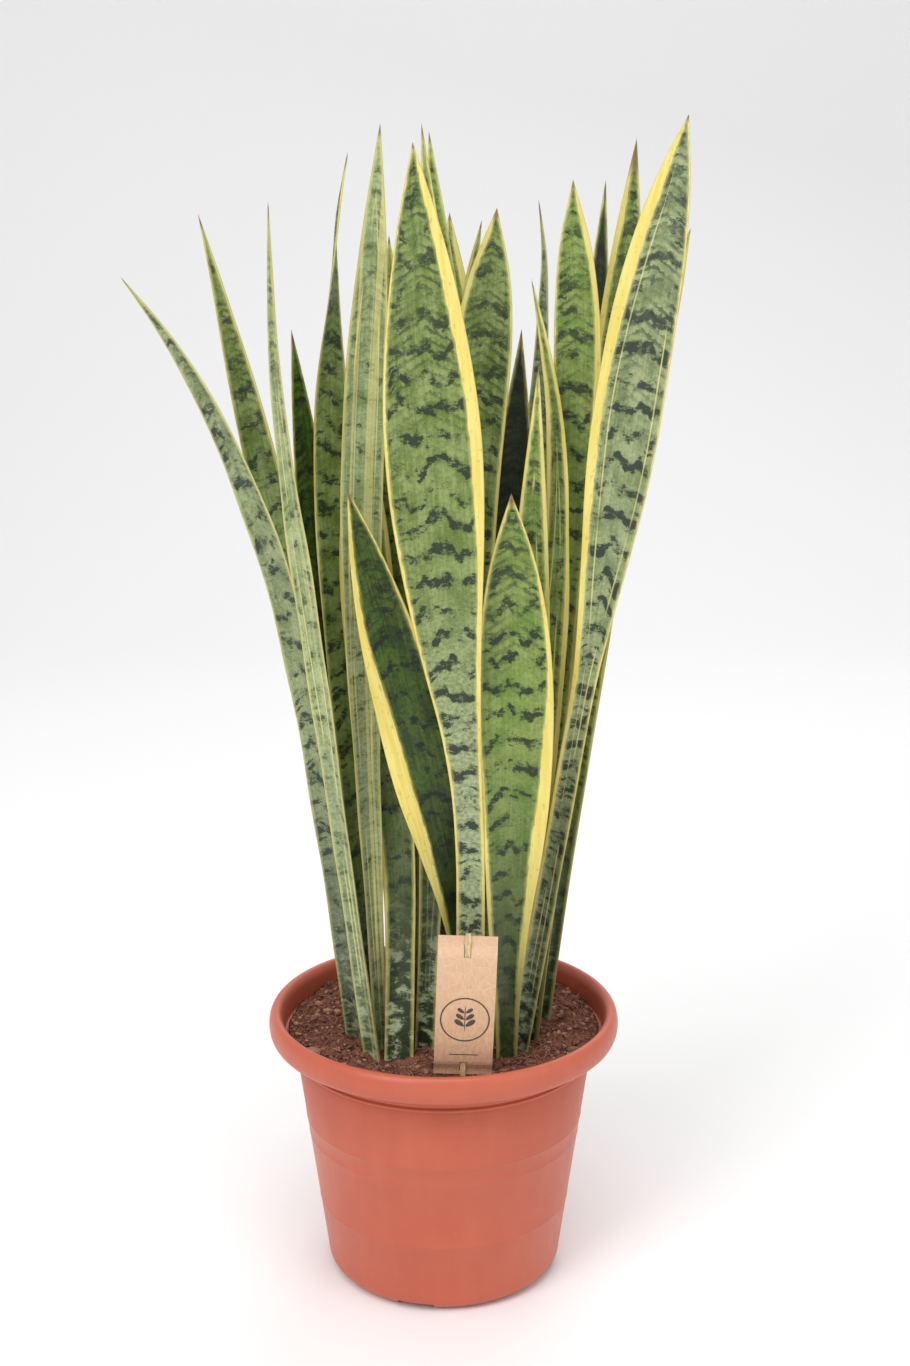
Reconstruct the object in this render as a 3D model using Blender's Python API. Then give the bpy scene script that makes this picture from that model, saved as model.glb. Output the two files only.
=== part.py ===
"""Potted snake plant: a turned plastic pot, its soil, separate sword-shaped leaves, and a label on a stick.

Metres, +Z up. The origin is at the centre of the pot's underside, on the surface it stands on. The plant's
front faces -Y.
"""
from collections import namedtuple
from math import cos, pi, radians, sin, sqrt

import bmesh
import bpy
from mathutils import Matrix, Vector

MM = 0.001

# --- Pot -------------------------------------------------------------------------------------------------
POT_HEIGHT = 0.225
RIM_RADIUS = 0.1425           # outside of the rolled rim band
RIM_BAND_WIDTH = 0.0115
RIM_BAND_HEIGHT = 0.0224
COLLAR_HEIGHT = 0.0165        # step between the rim band and the wall
COLLAR_PROUD = 0.0025
RIM_OVERHANG = 0.0222         # from the wall's top out to the rim's outside
WALL_TAPER = 0.0235           # how much narrower the wall is at the foot
WALL_TOP_RADIUS = RIM_RADIUS - RIM_OVERHANG
WALL_FOOT_RADIUS = WALL_TOP_RADIUS - WALL_TAPER
WALL = 0.0025
HEEL_RADIUS = 0.015
FOOT_RING_WIDTH = 0.009
FOOT_DEPTH = 0.0085           # how far the floor is raised above the foot
PAD_RADIUS = 0.030            # the floor's dished centre, whose underside is level with the foot
NOTCH_COUNT = 4
NOTCH_WIDTH = 0.030
NOTCH_HEIGHT = 0.0070
NOTCH_FIRST_ANGLE = radians(256)
DRAIN_COUNT = 8
DRAIN_RADIUS = 0.005
DRAIN_PLACE = 0.47            # share of the way from the pad out to the foot ring
DRAIN_SEGMENTS = 12
DRAIN_FIRST_ANGLE = radians(10)

# --- Soil ------------------------------------------------------------------------------------------------
SOIL_DROP = 0.015             # from the top of the rim down to the soil
TOUCH_GAP = 0.0003            # between pieces that rest on each other
SOIL_WALL_GAP = 0.0005        # between the soil and the pot, wider because both are many-sided
POCKET_GAP = 0.0014           # between the soil and what is pushed into it
SOIL_LEVEL = POT_HEIGHT - SOIL_DROP

# --- Leaves ----------------------------------------------------------------------------------------------
LEAF_HEIGHT_SCALE = 1.0
LEAF_WIDTH_SCALE = 1.0        # wider leaves stand as much further apart
CLUMP_WALL_RADIUS = 0.1178    # radius inside the pot's wall that the leaves' routes are drawn for
LEAF_BURIED = 0.012
LEAF_THICKNESS_FOOT = 0.0060
LEAF_THICKNESS_TIP = 0.0016
LEAF_CUP_FOOT = 0.28          # depth of the channel as a share of the leaf's width
LEAF_CUP_BLADE = 0.09
LEAF_CUP_FADE = 1.6           # how soon the channel opens out: 1 at the tip, more is sooner
LEAF_EDGE_THINNING = 0.6      # how much of its thickness a leaf loses towards its edges
RING_SPACING = 0.045
FEWEST_RINGS = 8
ROUTE_STEPS = 12              # points read from a leaf's smooth route between two of its given points

# --- Label -----------------------------------------------------------------------------------------------
TAG_WIDTH = 0.045
TAG_HEIGHT = 0.120
TAG_CARD_THICKNESS = 0.0009
TAG_SETBACK = 0.024           # from the pot's inner wall at soil level to the stick
TAG_OFFSET_X = 0.015
TAG_LEAN = radians(7)         # top towards the front
TAG_TILT = radians(2)         # top towards +X
STICK_WIDTH = 0.0042
STICK_THICKNESS = 0.0015
STICK_BURIED = 0.060
STICK_ABOVE_CARD = 0.004
STICK_POINT_SHARE = 0.2       # share of the buried length that is cut to a point
STICK_POINT_WIDTH = 0.35      # width left at the point, as a share
SLIT_LENGTH = 0.010
SLIT_TOP_DROP = 0.007         # from the card's top edge to the upper slit
SLIT_FOOT_RISE = 0.003        # from the card's lower edge to the lower slit
SLIT_STEPS = 4

SEGMENTS = 48
SMOOTH_ANGLE = radians(40)    # edges sharper than this stay crisp
FILLET_STEPS = 5

# Points round a leaf's section: place across it from edge to edge, and which face, 0 being on the edge.
RING = ((-1, 0), (-0.55, 1), (0, 1), (0.55, 1), (1, 0), (0.55, -1), (0, -1), (-0.55, -1))
RING_POINTS = len(RING)

# One leaf: the places its route bends through from the soil to its tip (x, y and height over the soil, in
# millimetres), the way its face looks at each of them (degrees from the front, +ve turning towards +X), and
# its outline. The outline keeps the neck's width up to neck_end, swells to the widest place, then narrows to
# the tip; a bigger taper makes fuller shoulders. neck_end and widest_at are shares of the leaf's length.
Leaf = namedtuple("Leaf", "name route turn neck widest neck_end widest_at taper")

LEAVES = [
    Leaf("leaf_front_tall",
         route=[(20, -65, 0), (20, -90, 200), (0, -105, 400), (-20, -90, 695)],
         turn=[0, -5, 0, 10], neck=22, widest=70, neck_end=0.3, widest_at=0.7, taper=1.8),
    Leaf("leaf_front_right_short",
         route=[(50, -70, 0), (50, -80, 100), (55, -90, 240), (50, -85, 450)],
         turn=[0, 0, 0, 0], neck=16, widest=56, neck_end=0.0, widest_at=0.65, taper=2.4),
    Leaf("leaf_front_left_short",
         route=[(5, -50, 0), (15, -65, 100), (-20, -80, 260), (-70, -65, 450)],
         turn=[10, 20, 15, 10], neck=17, widest=50, neck_end=0.1, widest_at=0.55, taper=2.4),
    Leaf("leaf_right_tall",
         route=[(60, -55, 0), (85, -60, 160), (115, -65, 360), (145, -60, 570), (175, -50, 715)],
         turn=[-30, -25, -15, -10, -10], neck=18, widest=50, neck_end=0.4, widest_at=0.7, taper=2.9),
    Leaf("leaf_far_right",
         route=[(70, -35, 0), (90, -35, 180), (125, -20, 380), (150, 0, 510), (185, 5, 635)],
         turn=[-25, -20, -10, -10, -10], neck=15, widest=34, neck_end=0.4, widest_at=0.7, taper=2.4),
    Leaf("leaf_right_inner_short",
         route=[(45, -45, 0), (60, -65, 250), (70, -60, 540)],
         turn=[0, 0, 0], neck=14, widest=36, neck_end=0.05, widest_at=0.55, taper=1.5),
    Leaf("leaf_centre_right_twisted",
         route=[(55, -35, 0), (80, -50, 300), (85, -40, 480), (65, -35, 600)],
         turn=[-20, -20, -40, -20], neck=15, widest=26, neck_end=0.05, widest_at=0.5, taper=2.2),
    Leaf("leaf_right_centre_broad",
         route=[(65, -10, 0), (90, -10, 300), (100, -30, 510), (95, -25, 670)],
         turn=[-10, -10, -10, -10], neck=16, widest=35, neck_end=0.1, widest_at=0.8, taper=2.6),
    Leaf("leaf_right_yellow_behind",
         route=[(60, 5, 0), (90, 5, 300), (100, 10, 470), (95, 10, 605)],
         turn=[0, 0, 0, 0], neck=15, widest=36, neck_end=0.1, widest_at=0.65, taper=3.0),
    Leaf("leaf_right_curled_tip",
         route=[(80, 5, 0), (120, 15, 350), (140, 25, 630), (145, 25, 700)],
         turn=[0, 0, 0, 0], neck=15, widest=38, neck_end=0.1, widest_at=0.75, taper=1.5),
    Leaf("leaf_right_dark_narrow",
         route=[(70, 35, 0), (105, 45, 340), (125, 60, 670)],
         turn=[20, 20, 20], neck=16, widest=33, neck_end=0.1, widest_at=0.6, taper=2.0),
    Leaf("leaf_back_thin_grey",
         route=[(50, 50, 0), (70, 75, 340), (80, 90, 590), (75, 95, 655)],
         turn=[-50, -50, -55, -60], neck=18, widest=32, neck_end=0.1, widest_at=0.65, taper=1.2),
    Leaf("leaf_centre_back_broad",
         route=[(30, -20, 0), (25, -20, 200), (20, -20, 420), (40, -20, 650)],
         turn=[0, 0, 0, 0], neck=18, widest=45, neck_end=0.1, widest_at=0.8, taper=2.4),
    Leaf("leaf_back_centre_narrow",
         route=[(25, 25, 0), (25, 40, 340), (20, 55, 560), (30, 60, 640)],
         turn=[40, 40, 40, 30], neck=17, widest=30, neck_end=0.1, widest_at=0.7, taper=2.2),
    Leaf("leaf_back_centre_short",
         route=[(0, 45, 0), (10, 65, 340), (5, 85, 645)],
         turn=[180, 180, 180], neck=17, widest=44, neck_end=0.15, widest_at=0.7, taper=2.6),
    Leaf("leaf_centre_sheath_right",
         route=[(0, -25, 0), (10, 0, 280), (10, 5, 430), (-10, 10, 705)],
         turn=[10, 10, 10, 10], neck=16, widest=38, neck_end=0.1, widest_at=0.6, taper=2.0),
    Leaf("leaf_centre_sheath_left",
         route=[(-15, -55, 0), (-5, -40, 250), (0, -30, 490), (-15, -20, 710)],
         turn=[0, 0, 0, 0], neck=16, widest=36, neck_end=0.1, widest_at=0.55, taper=1.8),
    Leaf("leaf_behind_centre",
         route=[(-25, -40, 0), (-30, -10, 280), (-40, 5, 630)],
         turn=[0, 0, 0], neck=14, widest=40, neck_end=0.05, widest_at=0.7, taper=1.7),
    Leaf("leaf_yellow_edge",
         route=[(-35, -70, 0), (-35, -40, 150), (-55, -15, 310), (-65, -5, 510)],
         turn=[0, 0, 10, 10], neck=23, widest=42, neck_end=0.15, widest_at=0.7, taper=2.2),
    Leaf("leaf_left_centre_tall",
         route=[(-50, -55, 0), (-60, -50, 280), (-60, -40, 460), (-45, -15, 710)],
         turn=[50, 30, 20, 20], neck=14, widest=34, neck_end=0.0, widest_at=0.7, taper=1.8),
    Leaf("leaf_left_channel",
         route=[(-55, -70, 0), (-90, -65, 280), (-120, -50, 510), (-125, -45, 655)],
         turn=[-40, -40, -50, -40], neck=16, widest=24, neck_end=0.2, widest_at=0.6, taper=1.5),
    Leaf("leaf_left_twisted",
         route=[(-50, -40, 0), (-70, -20, 180), (-85, 0, 450), (-80, 5, 620), (-70, 10, 690)],
         turn=[30, 30, 20, 90, 140], neck=16, widest=30, neck_end=0.1, widest_at=0.65, taper=2.2),
    Leaf("leaf_left_dark_tip",
         route=[(-50, -20, 0), (-85, 0, 280), (-115, 15, 560)],
         turn=[40, 40, 30], neck=17, widest=30, neck_end=0.1, widest_at=0.7, taper=1.8),
    Leaf("leaf_far_left_arching",
         route=[(-70, -30, 0), (-105, -25, 280), (-140, -20, 420), (-190, -10, 530), (-240, -5, 600)],
         turn=[-45, -40, -40, -40, -40], neck=20, widest=31, neck_end=0.1, widest_at=0.55, taper=1.9),
    Leaf("leaf_left_leaning",
         route=[(-60, 15, 0), (-120, 30, 350), (-165, 30, 560), (-185, 30, 645)],
         turn=[-30, -30, 30, 40], neck=17, widest=28, neck_end=0.05, widest_at=0.6, taper=2.0),
    Leaf("leaf_dark_inner",
         route=[(40, 0, 0), (50, 10, 330), (60, 20, 560)],
         turn=[0, 0, 0], neck=16, widest=42, neck_end=0.05, widest_at=0.6, taper=1.8),
    Leaf("leaf_pale_small",
         route=[(-40, 30, 0), (-45, 20, 330), (-35, 20, 590)],
         turn=[10, 10, 10], neck=14, widest=22, neck_end=0.1, widest_at=0.6, taper=1.4),
]

LEAF_GREEN = (0.105, 0.200, 0.075)
POT_TERRACOTTA = (0.560, 0.145, 0.085)
SOIL_BROWN = (0.050, 0.022, 0.013)
KRAFT_BROWN = (0.560, 0.360, 0.210)
STICK_WOOD = (0.760, 0.590, 0.380)


def clear_scene():
    """Remove whatever the file starts with."""
    for thing in list(bpy.data.objects):
        bpy.data.objects.remove(thing, do_unlink=True)


def plain_material(name, colour, roughness):
    """A non-metal Principled material."""
    material = bpy.data.materials.new(name)
    material.use_nodes = True
    shader = material.node_tree.nodes["Principled BSDF"]
    shader.inputs["Base Color"].default_value = (*colour, 1.0)
    shader.inputs["Roughness"].default_value = roughness
    shader.inputs["Metallic"].default_value = 0.0
    return material


def add_object(name, form, material=None):
    """Turn a bmesh into a smooth-shaded object in the scene."""
    bmesh.ops.recalc_face_normals(form, faces=form.faces)
    mesh = bpy.data.meshes.new(name)
    form.to_mesh(mesh)
    form.free()
    mesh.shade_smooth()
    mesh.set_sharp_from_angle(angle=SMOOTH_ANGLE)
    thing = bpy.data.objects.new(name, mesh)
    bpy.context.scene.collection.objects.link(thing)
    if material:
        mesh.materials.append(material)
    return thing


def cut(target, cutter):
    """Subtract the cutter from the target with an exact Boolean."""
    cutter.hide_render = True
    cutter.display_type = "WIRE"
    modifier = target.modifiers.new("cut_" + cutter.name, "BOOLEAN")
    modifier.operation = "DIFFERENCE"
    modifier.solver = "EXACT"
    modifier.object = cutter


def arc(centre_r, centre_z, half_width, half_height, start, end, steps):
    """Points of an elliptical arc in the (radius, height) plane; angles in degrees."""
    points = []
    for step in range(steps + 1):
        angle = radians(start + (end - start) * step / steps)
        points.append((centre_r + half_width * cos(angle), centre_z + half_height * sin(angle)))
    return points


def turned(outline):
    """Spin an outline that starts and ends on the axis into a closed solid."""
    form = bmesh.new()
    rings = []
    for radius, height in outline:
        if radius == 0.0:
            rings.append([form.verts.new((0.0, 0.0, height))])
            continue
        turn = [2 * pi * k / SEGMENTS for k in range(SEGMENTS)]
        rings.append([form.verts.new((radius * cos(a), radius * sin(a), height)) for a in turn])
    for lower, upper in zip(rings, rings[1:]):
        for k in range(SEGMENTS):
            after = (k + 1) % SEGMENTS
            corners = [lower[k % len(lower)], lower[after % len(lower)],
                       upper[after % len(upper)], upper[k % len(upper)]]
            form.faces.new(dict.fromkeys(corners))
    return form


def wall_top():
    """Height where the tapered wall ends and the collar begins."""
    return POT_HEIGHT - RIM_BAND_HEIGHT - COLLAR_HEIGHT


def floor_top():
    """Height of the floor's inside face."""
    return FOOT_DEPTH + WALL


def inner_outline(gap=0.0):
    """Inside of the pot from the lip down to the dished floor, as (radius, height), moved in by a gap."""
    lip = (RIM_RADIUS - RIM_BAND_WIDTH - gap, POT_HEIGHT - RIM_BAND_HEIGHT / 2)
    shoulder = (WALL_TOP_RADIUS - WALL + COLLAR_PROUD - gap, wall_top() + COLLAR_HEIGHT)
    top = (WALL_TOP_RADIUS - WALL - gap, wall_top())
    inner_heel = HEEL_RADIUS - floor_top()
    bend = arc(WALL_FOOT_RADIUS - WALL - inner_heel, HEEL_RADIUS, inner_heel - gap, inner_heel - gap,
               0, -90, FILLET_STEPS)
    dish = PAD_RADIUS - WALL - gap
    return [lip, shoulder, top] + bend + [(dish, floor_top() + gap), (dish, WALL + gap)]


def inner_radius(height, gap=0.0):
    """Inside radius of the pot at a height, read from its inner outline."""
    outline = inner_outline(gap)
    for (r_high, z_high), (r_low, z_low) in zip(outline, outline[1:]):
        if z_low <= height <= z_high:
            return r_low + (r_high - r_low) * (height - z_low) / (z_high - z_low)
    return outline[0][0]


def make_pot():
    """Rolled rim band, collar, tapered wall, round heel, foot ring, and a drained floor with a centre pad."""
    foot_outer = WALL_FOOT_RADIUS - HEEL_RADIUS
    foot_inner = foot_outer - FOOT_RING_WIDTH
    drain_circle = PAD_RADIUS + DRAIN_PLACE * (foot_inner - PAD_RADIUS)
    heel = arc(foot_outer, HEEL_RADIUS, HEEL_RADIUS, HEEL_RADIUS, -90, 0, FILLET_STEPS)
    collar_radius = WALL_TOP_RADIUS + COLLAR_PROUD
    collar = [(WALL_TOP_RADIUS, wall_top()), (collar_radius, wall_top() + COLLAR_PROUD / 2),
              (collar_radius, wall_top() + COLLAR_HEIGHT)]
    band = arc(RIM_RADIUS - RIM_BAND_WIDTH / 2, POT_HEIGHT - RIM_BAND_HEIGHT / 2,
               RIM_BAND_WIDTH / 2, RIM_BAND_HEIGHT / 2, -90, 180, 3 * FILLET_STEPS)
    underside = [(0.0, 0.0), (PAD_RADIUS, 0.0), (PAD_RADIUS, FOOT_DEPTH), (foot_inner, FOOT_DEPTH),
                 (foot_inner, 0.0)]
    outline = underside + heel + collar + band + inner_outline()[1:] + [(0.0, WALL)]
    pot = add_object("pot", turned(outline), plain_material("pot_plastic", POT_TERRACOTTA, 0.42))
    for index in range(NOTCH_COUNT):
        angle = NOTCH_FIRST_ANGLE + 2 * pi * index / NOTCH_COUNT
        cut(pot, notch_cutter(index, angle, foot_inner))
    for index in range(DRAIN_COUNT):
        cut(pot, drain_cutter(index, DRAIN_FIRST_ANGLE + 2 * pi * index / DRAIN_COUNT, drain_circle))
    return pot


def notch_cutter(index, angle, foot_inner):
    """A block across the foot ring that leaves a shallow water notch."""
    start = foot_inner - WALL
    length = WALL_FOOT_RADIUS + WALL - start
    form = bmesh.new()
    bmesh.ops.create_cube(form, size=1.0)
    bmesh.ops.scale(form, vec=(length, NOTCH_WIDTH, 2 * NOTCH_HEIGHT), verts=form.verts)
    bmesh.ops.translate(form, vec=(start + length / 2, 0, 0), verts=form.verts)
    bmesh.ops.rotate(form, matrix=Matrix.Rotation(angle, 3, "Z"), verts=form.verts)
    return add_object(f"cutter_notch_{index + 1}", form)


def drain_cutter(index, angle, circle_radius):
    """A round pin through the floor."""
    form = bmesh.new()
    bmesh.ops.create_cone(form, cap_ends=True, segments=DRAIN_SEGMENTS, radius1=DRAIN_RADIUS,
                          radius2=DRAIN_RADIUS, depth=3 * floor_top())
    place = (circle_radius * cos(angle), circle_radius * sin(angle), floor_top())
    bmesh.ops.translate(form, vec=place, verts=form.verts)
    return add_object(f"cutter_drain_{index + 1}", form)


def make_soil(cutters):
    """The fill: the pot's inside, held just off its wall, with a pocket for each buried foot."""
    walls = [place for place in inner_outline(SOIL_WALL_GAP) if place[1] < SOIL_LEVEL]
    top = (inner_radius(SOIL_LEVEL, SOIL_WALL_GAP), SOIL_LEVEL)
    outline = [(0.0, walls[-1][1])] + walls[::-1] + [top, (0.0, SOIL_LEVEL)]
    soil = add_object("soil", turned(outline), plain_material("potting_mix", SOIL_BROWN, 0.95))
    for cutter in cutters:
        cut(soil, cutter)
    return soil


def smooth(share):
    """Ease from 0 to 1."""
    share = min(1.0, max(0.0, share))
    return share * share * (3.0 - 2.0 * share)


def through(values, share):
    """Read a smooth curve (Catmull-Rom) through evenly counted values, at a share of the whole."""
    place = share * (len(values) - 1)
    index = min(int(place), len(values) - 2)
    part = place - index
    before = values[max(index - 1, 0)]
    start, end = values[index], values[index + 1]
    after = values[min(index + 2, len(values) - 1)]
    bend = (end - before) * 0.5
    next_bend = (after - start) * 0.5
    cube, square = part ** 3, part ** 2
    return (start * (2 * cube - 3 * square + 1) + bend * (cube - 2 * square + part)
            + end * (3 * square - 2 * cube) + next_bend * (cube - square))


def leaf_width(leaf, share):
    """Width of a leaf at a share of its length: neck, swelling blade, pointed end."""
    if share < leaf.widest_at:
        swell = smooth((share - leaf.neck_end) / (leaf.widest_at - leaf.neck_end))
        width = leaf.neck + (leaf.widest - leaf.neck) * swell
    else:
        past = (share - leaf.widest_at) / (1.0 - leaf.widest_at)
        width = leaf.widest * (1.0 - past ** leaf.taper)
    return width * MM


def leaf_points(leaf):
    """The route in metres, started below the soil on the line of the leaf's foot."""
    rise = Vector((1.0, 1.0, LEAF_HEIGHT_SCALE)) * MM
    points = [Vector(p) * rise + Vector((0, 0, SOIL_LEVEL)) for p in leaf.route]
    first = (points[1] - points[0]).normalized()
    points[0] = points[0] - first * (LEAF_BURIED / first.z)
    return points


def leaf_stations(leaf, count):
    """Evenly spaced (centre, share of length, share of route) along a leaf."""
    points = leaf_points(leaf)
    fine = ROUTE_STEPS * (len(points) - 1)
    places = [through(points, k / fine) for k in range(fine + 1)]
    run = [0.0]
    for here, there in zip(places, places[1:]):
        run.append(run[-1] + (there - here).length)
    stations = []
    for step in range(count + 1):
        goal = run[-1] * step / count
        k = max(i for i in range(fine) if run[i] <= goal)
        part = (goal - run[k]) / (run[k + 1] - run[k])
        stations.append((places[k].lerp(places[k + 1], part), step / count, (k + part) / fine))
    return stations


def clump_spread():
    """How much wider the leaves and the spaces between them are than drawn."""
    return LEAF_WIDTH_SCALE * (WALL_TOP_RADIUS - WALL) / CLUMP_WALL_RADIUS


def leaf_frame(before, after, turn):
    """Directions across the leaf and out of its face."""
    along = (after - before).normalized()
    face = Vector((sin(turn), -cos(turn), 0.0))
    across = along.cross(face).normalized() * -1.0
    return across, across.cross(along).normalized() * -1.0


def leaf_form(leaf, count, grow=0.0, last=None):
    """A cupped, lens-shaped blade lofted along its route; grow swells it, last stops it early."""
    stations = leaf_stations(leaf, count)
    form = bmesh.new()
    rings = []
    for step, (centre, share, route_share) in enumerate(stations[:last]):
        if step == count:
            break
        before = stations[max(step - 1, 0)][0]
        after = stations[min(step + 1, count)][0]
        turn = radians(through(leaf.turn, route_share))
        across, face = leaf_frame(before, after, turn)
        half = leaf_width(leaf, share) / 2
        thick = LEAF_THICKNESS_FOOT + (LEAF_THICKNESS_TIP - LEAF_THICKNESS_FOOT) * sqrt(share)
        cup = 2 * half * (LEAF_CUP_FOOT + (LEAF_CUP_BLADE - LEAF_CUP_FOOT) * smooth(LEAF_CUP_FADE * share))
        ring = []
        for place, side in RING:
            reach = place * (1 + 2 * grow / half)
            face_out = thick / 2 * (1 - LEAF_EDGE_THINNING * place * place) + grow
            out = cup * (reach * reach - 0.5) + side * face_out
            ring.append(form.verts.new(centre + across * half * reach + face * out))
        rings.append(ring)
    for lower, upper in zip(rings, rings[1:]):
        for k in range(RING_POINTS):
            after = (k + 1) % RING_POINTS
            form.faces.new((lower[k], lower[after], upper[after]))
            form.faces.new((lower[k], upper[after], upper[k]))
    close_ring(form, rings[0])
    if last:
        close_ring(form, rings[-1])
    else:
        tip = form.verts.new(stations[-1][0])
        for k in range(RING_POINTS):
            form.faces.new((rings[-1][k], rings[-1][(k + 1) % RING_POINTS], tip))
    bmesh.ops.scale(form, vec=(clump_spread(), clump_spread(), 1.0), verts=form.verts)
    return form


def close_ring(form, ring):
    """Close a lens-shaped ring, whose first and middle points are its two edges, with strips across it."""
    middle = RING_POINTS // 2
    for k in range(middle):
        strip = (ring[k], ring[k + 1], ring[-k - 1], ring[-k])
        form.faces.new(list(dict.fromkeys(strip)))


def ring_count(leaf):
    """How many lofted rings a leaf needs for its length."""
    return max(FEWEST_RINGS, round(leaf.route[-1][2] * MM * LEAF_HEIGHT_SCALE / RING_SPACING))


def make_leaf(leaf):
    """One leaf."""
    material = plain_material(leaf.name + "_green", LEAF_GREEN, 0.45)
    return add_object(leaf.name, leaf_form(leaf, ring_count(leaf)), material)


def make_pocket(leaf):
    """The space a leaf's foot takes in the soil: the same blade, swollen by the pocket gap, started lower."""
    form = leaf_form(leaf, ring_count(leaf), grow=POCKET_GAP, last=2)
    low = min(v.co.z for v in form.verts)
    for v in form.verts:
        if v.co.z < low + LEAF_BURIED / 2:
            v.co.z -= POCKET_GAP
    return add_object("cutter_" + leaf.name, form)


def tag_matrix():
    """Place of the label: its foot is at soil level, near the front of the rim, and it leans to the front."""
    back = -(inner_radius(SOIL_LEVEL) - TAG_SETBACK)
    place = Matrix.Translation((TAG_OFFSET_X, back, SOIL_LEVEL))
    return place @ Matrix.Rotation(TAG_LEAN, 4, "X") @ Matrix.Rotation(TAG_TILT, 4, "Y")


def card_offset(height, slits):
    """How far the card stands in front of the stick; above and below the slits it is behind."""
    clear = (STICK_THICKNESS + TAG_CARD_THICKNESS) / 2 + TOUCH_GAP
    lower, upper = slits
    passed = smooth((height - lower) / SLIT_LENGTH) - smooth((height - upper) / SLIT_LENGTH)
    return clear * (2 * passed - 1)


def card_slits():
    """Heights where the card's lower and upper slits begin."""
    foot = card_foot()
    return foot + SLIT_FOOT_RISE, foot + TAG_HEIGHT - SLIT_TOP_DROP - SLIT_LENGTH


def card_foot():
    """Height of the card's lower edge, just clear of the soil when the card is tilted."""
    return sin(TAG_TILT) * TAG_WIDTH / 2 + 2 * TOUCH_GAP


def card_cell_is_solid(rows, row, column):
    """Whether the card has material between two rows, in its left, middle or right column."""
    if not (0 <= row < len(rows) - 1 and 0 <= column < 3):
        return False
    in_slit = any(slit <= rows[row] < slit + SLIT_LENGTH - TOUCH_GAP for slit in card_slits())
    return not (in_slit and column == 1)


def make_tag_card():
    """Card with two slits, bowed a little so that the flat stick threads through it."""
    slits = card_slits()
    gap = STICK_WIDTH / 2 + 2 * TOUCH_GAP
    columns = [-TAG_WIDTH / 2, -gap, gap, TAG_WIDTH / 2]
    ramp = [SLIT_LENGTH * k / SLIT_STEPS for k in range(SLIT_STEPS + 1)]
    rows = [card_foot()] + [slit + rise for slit in slits for rise in ramp] + [card_foot() + TAG_HEIGHT]
    form = bmesh.new()
    front, back = [], []
    for height in rows:
        out = card_offset(height, slits)
        for layer, side in ((front, 1), (back, -1)):
            depth = -(out + side * TAG_CARD_THICKNESS / 2)
            layer.append([form.verts.new((x, depth, height)) for x in columns])
    for row in range(len(rows) - 1):
        for column in range(3):
            if card_cell_is_solid(rows, row, column):
                add_card_cell(form, front, back, rows, row, column)
    bmesh.ops.transform(form, matrix=tag_matrix(), verts=form.verts)
    return add_object("tag_card", form, plain_material("kraft_card", KRAFT_BROWN, 0.85))


def add_card_cell(form, front, back, rows, row, column):
    """Both faces of one patch of card, and its edges where the card ends beside it."""
    corners = ((row, column), (row, column + 1), (row + 1, column + 1), (row + 1, column))
    form.faces.new([front[r][c] for r, c in corners])
    form.faces.new([back[r][c] for r, c in reversed(corners)])
    beside = ((row - 1, column), (row, column + 1), (row + 1, column), (row, column - 1))
    for k, (next_row, next_column) in enumerate(beside):
        if not card_cell_is_solid(rows, next_row, next_column):
            (r1, c1), (r2, c2) = corners[k], corners[(k + 1) % 4]
            form.faces.new((front[r1][c1], back[r1][c1], back[r2][c2], front[r2][c2]))


def stick_form(grow=0.0):
    """Flat stick, pointed at its buried end."""
    half_w, half_t = STICK_WIDTH / 2 + grow, STICK_THICKNESS / 2 + grow
    top = TAG_HEIGHT + STICK_ABOVE_CARD
    form = bmesh.new()
    rings = []
    point = -STICK_BURIED * (1 - STICK_POINT_SHARE)
    for height, share in ((-STICK_BURIED - grow, STICK_POINT_WIDTH), (point, 1.0), (top, 1.0)):
        corners = ((-1, -1), (1, -1), (1, 1), (-1, 1))
        rings.append([form.verts.new((half_w * share * x, half_t * y, height)) for x, y in corners])
    for lower, upper in zip(rings, rings[1:]):
        for k in range(4):
            form.faces.new((lower[k], lower[(k + 1) % 4], upper[(k + 1) % 4], upper[k]))
    form.faces.new(rings[0][::-1])
    form.faces.new(rings[-1])
    bmesh.ops.transform(form, matrix=tag_matrix(), verts=form.verts)
    return form


def make_tag_stick():
    """The label's stick."""
    return add_object("tag_stick", stick_form(), plain_material("stick_wood", STICK_WOOD, 0.7))


def main():
    """Build every piece."""
    clear_scene()
    make_pot()
    for leaf in LEAVES:
        make_leaf(leaf)
    make_tag_stick()
    make_tag_card()
    pockets = [make_pocket(leaf) for leaf in LEAVES]
    pockets.append(add_object("cutter_tag_stick", stick_form(grow=POCKET_GAP)))
    make_soil(pockets)


main()
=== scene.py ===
"""Potted snake plant: the finished look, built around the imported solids.

Each visible piece takes its place and size from the solid that it stands for.
Metres, +Z up, front towards -Y.
"""
import random
from collections import namedtuple
from itertools import combinations
from math import cos, exp, pi, radians, sin, sqrt

import bpy
import numpy as np
from bpy.props import FloatProperty, FloatVectorProperty, IntProperty, PointerProperty
from mathutils import Matrix, Vector, noise


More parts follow.
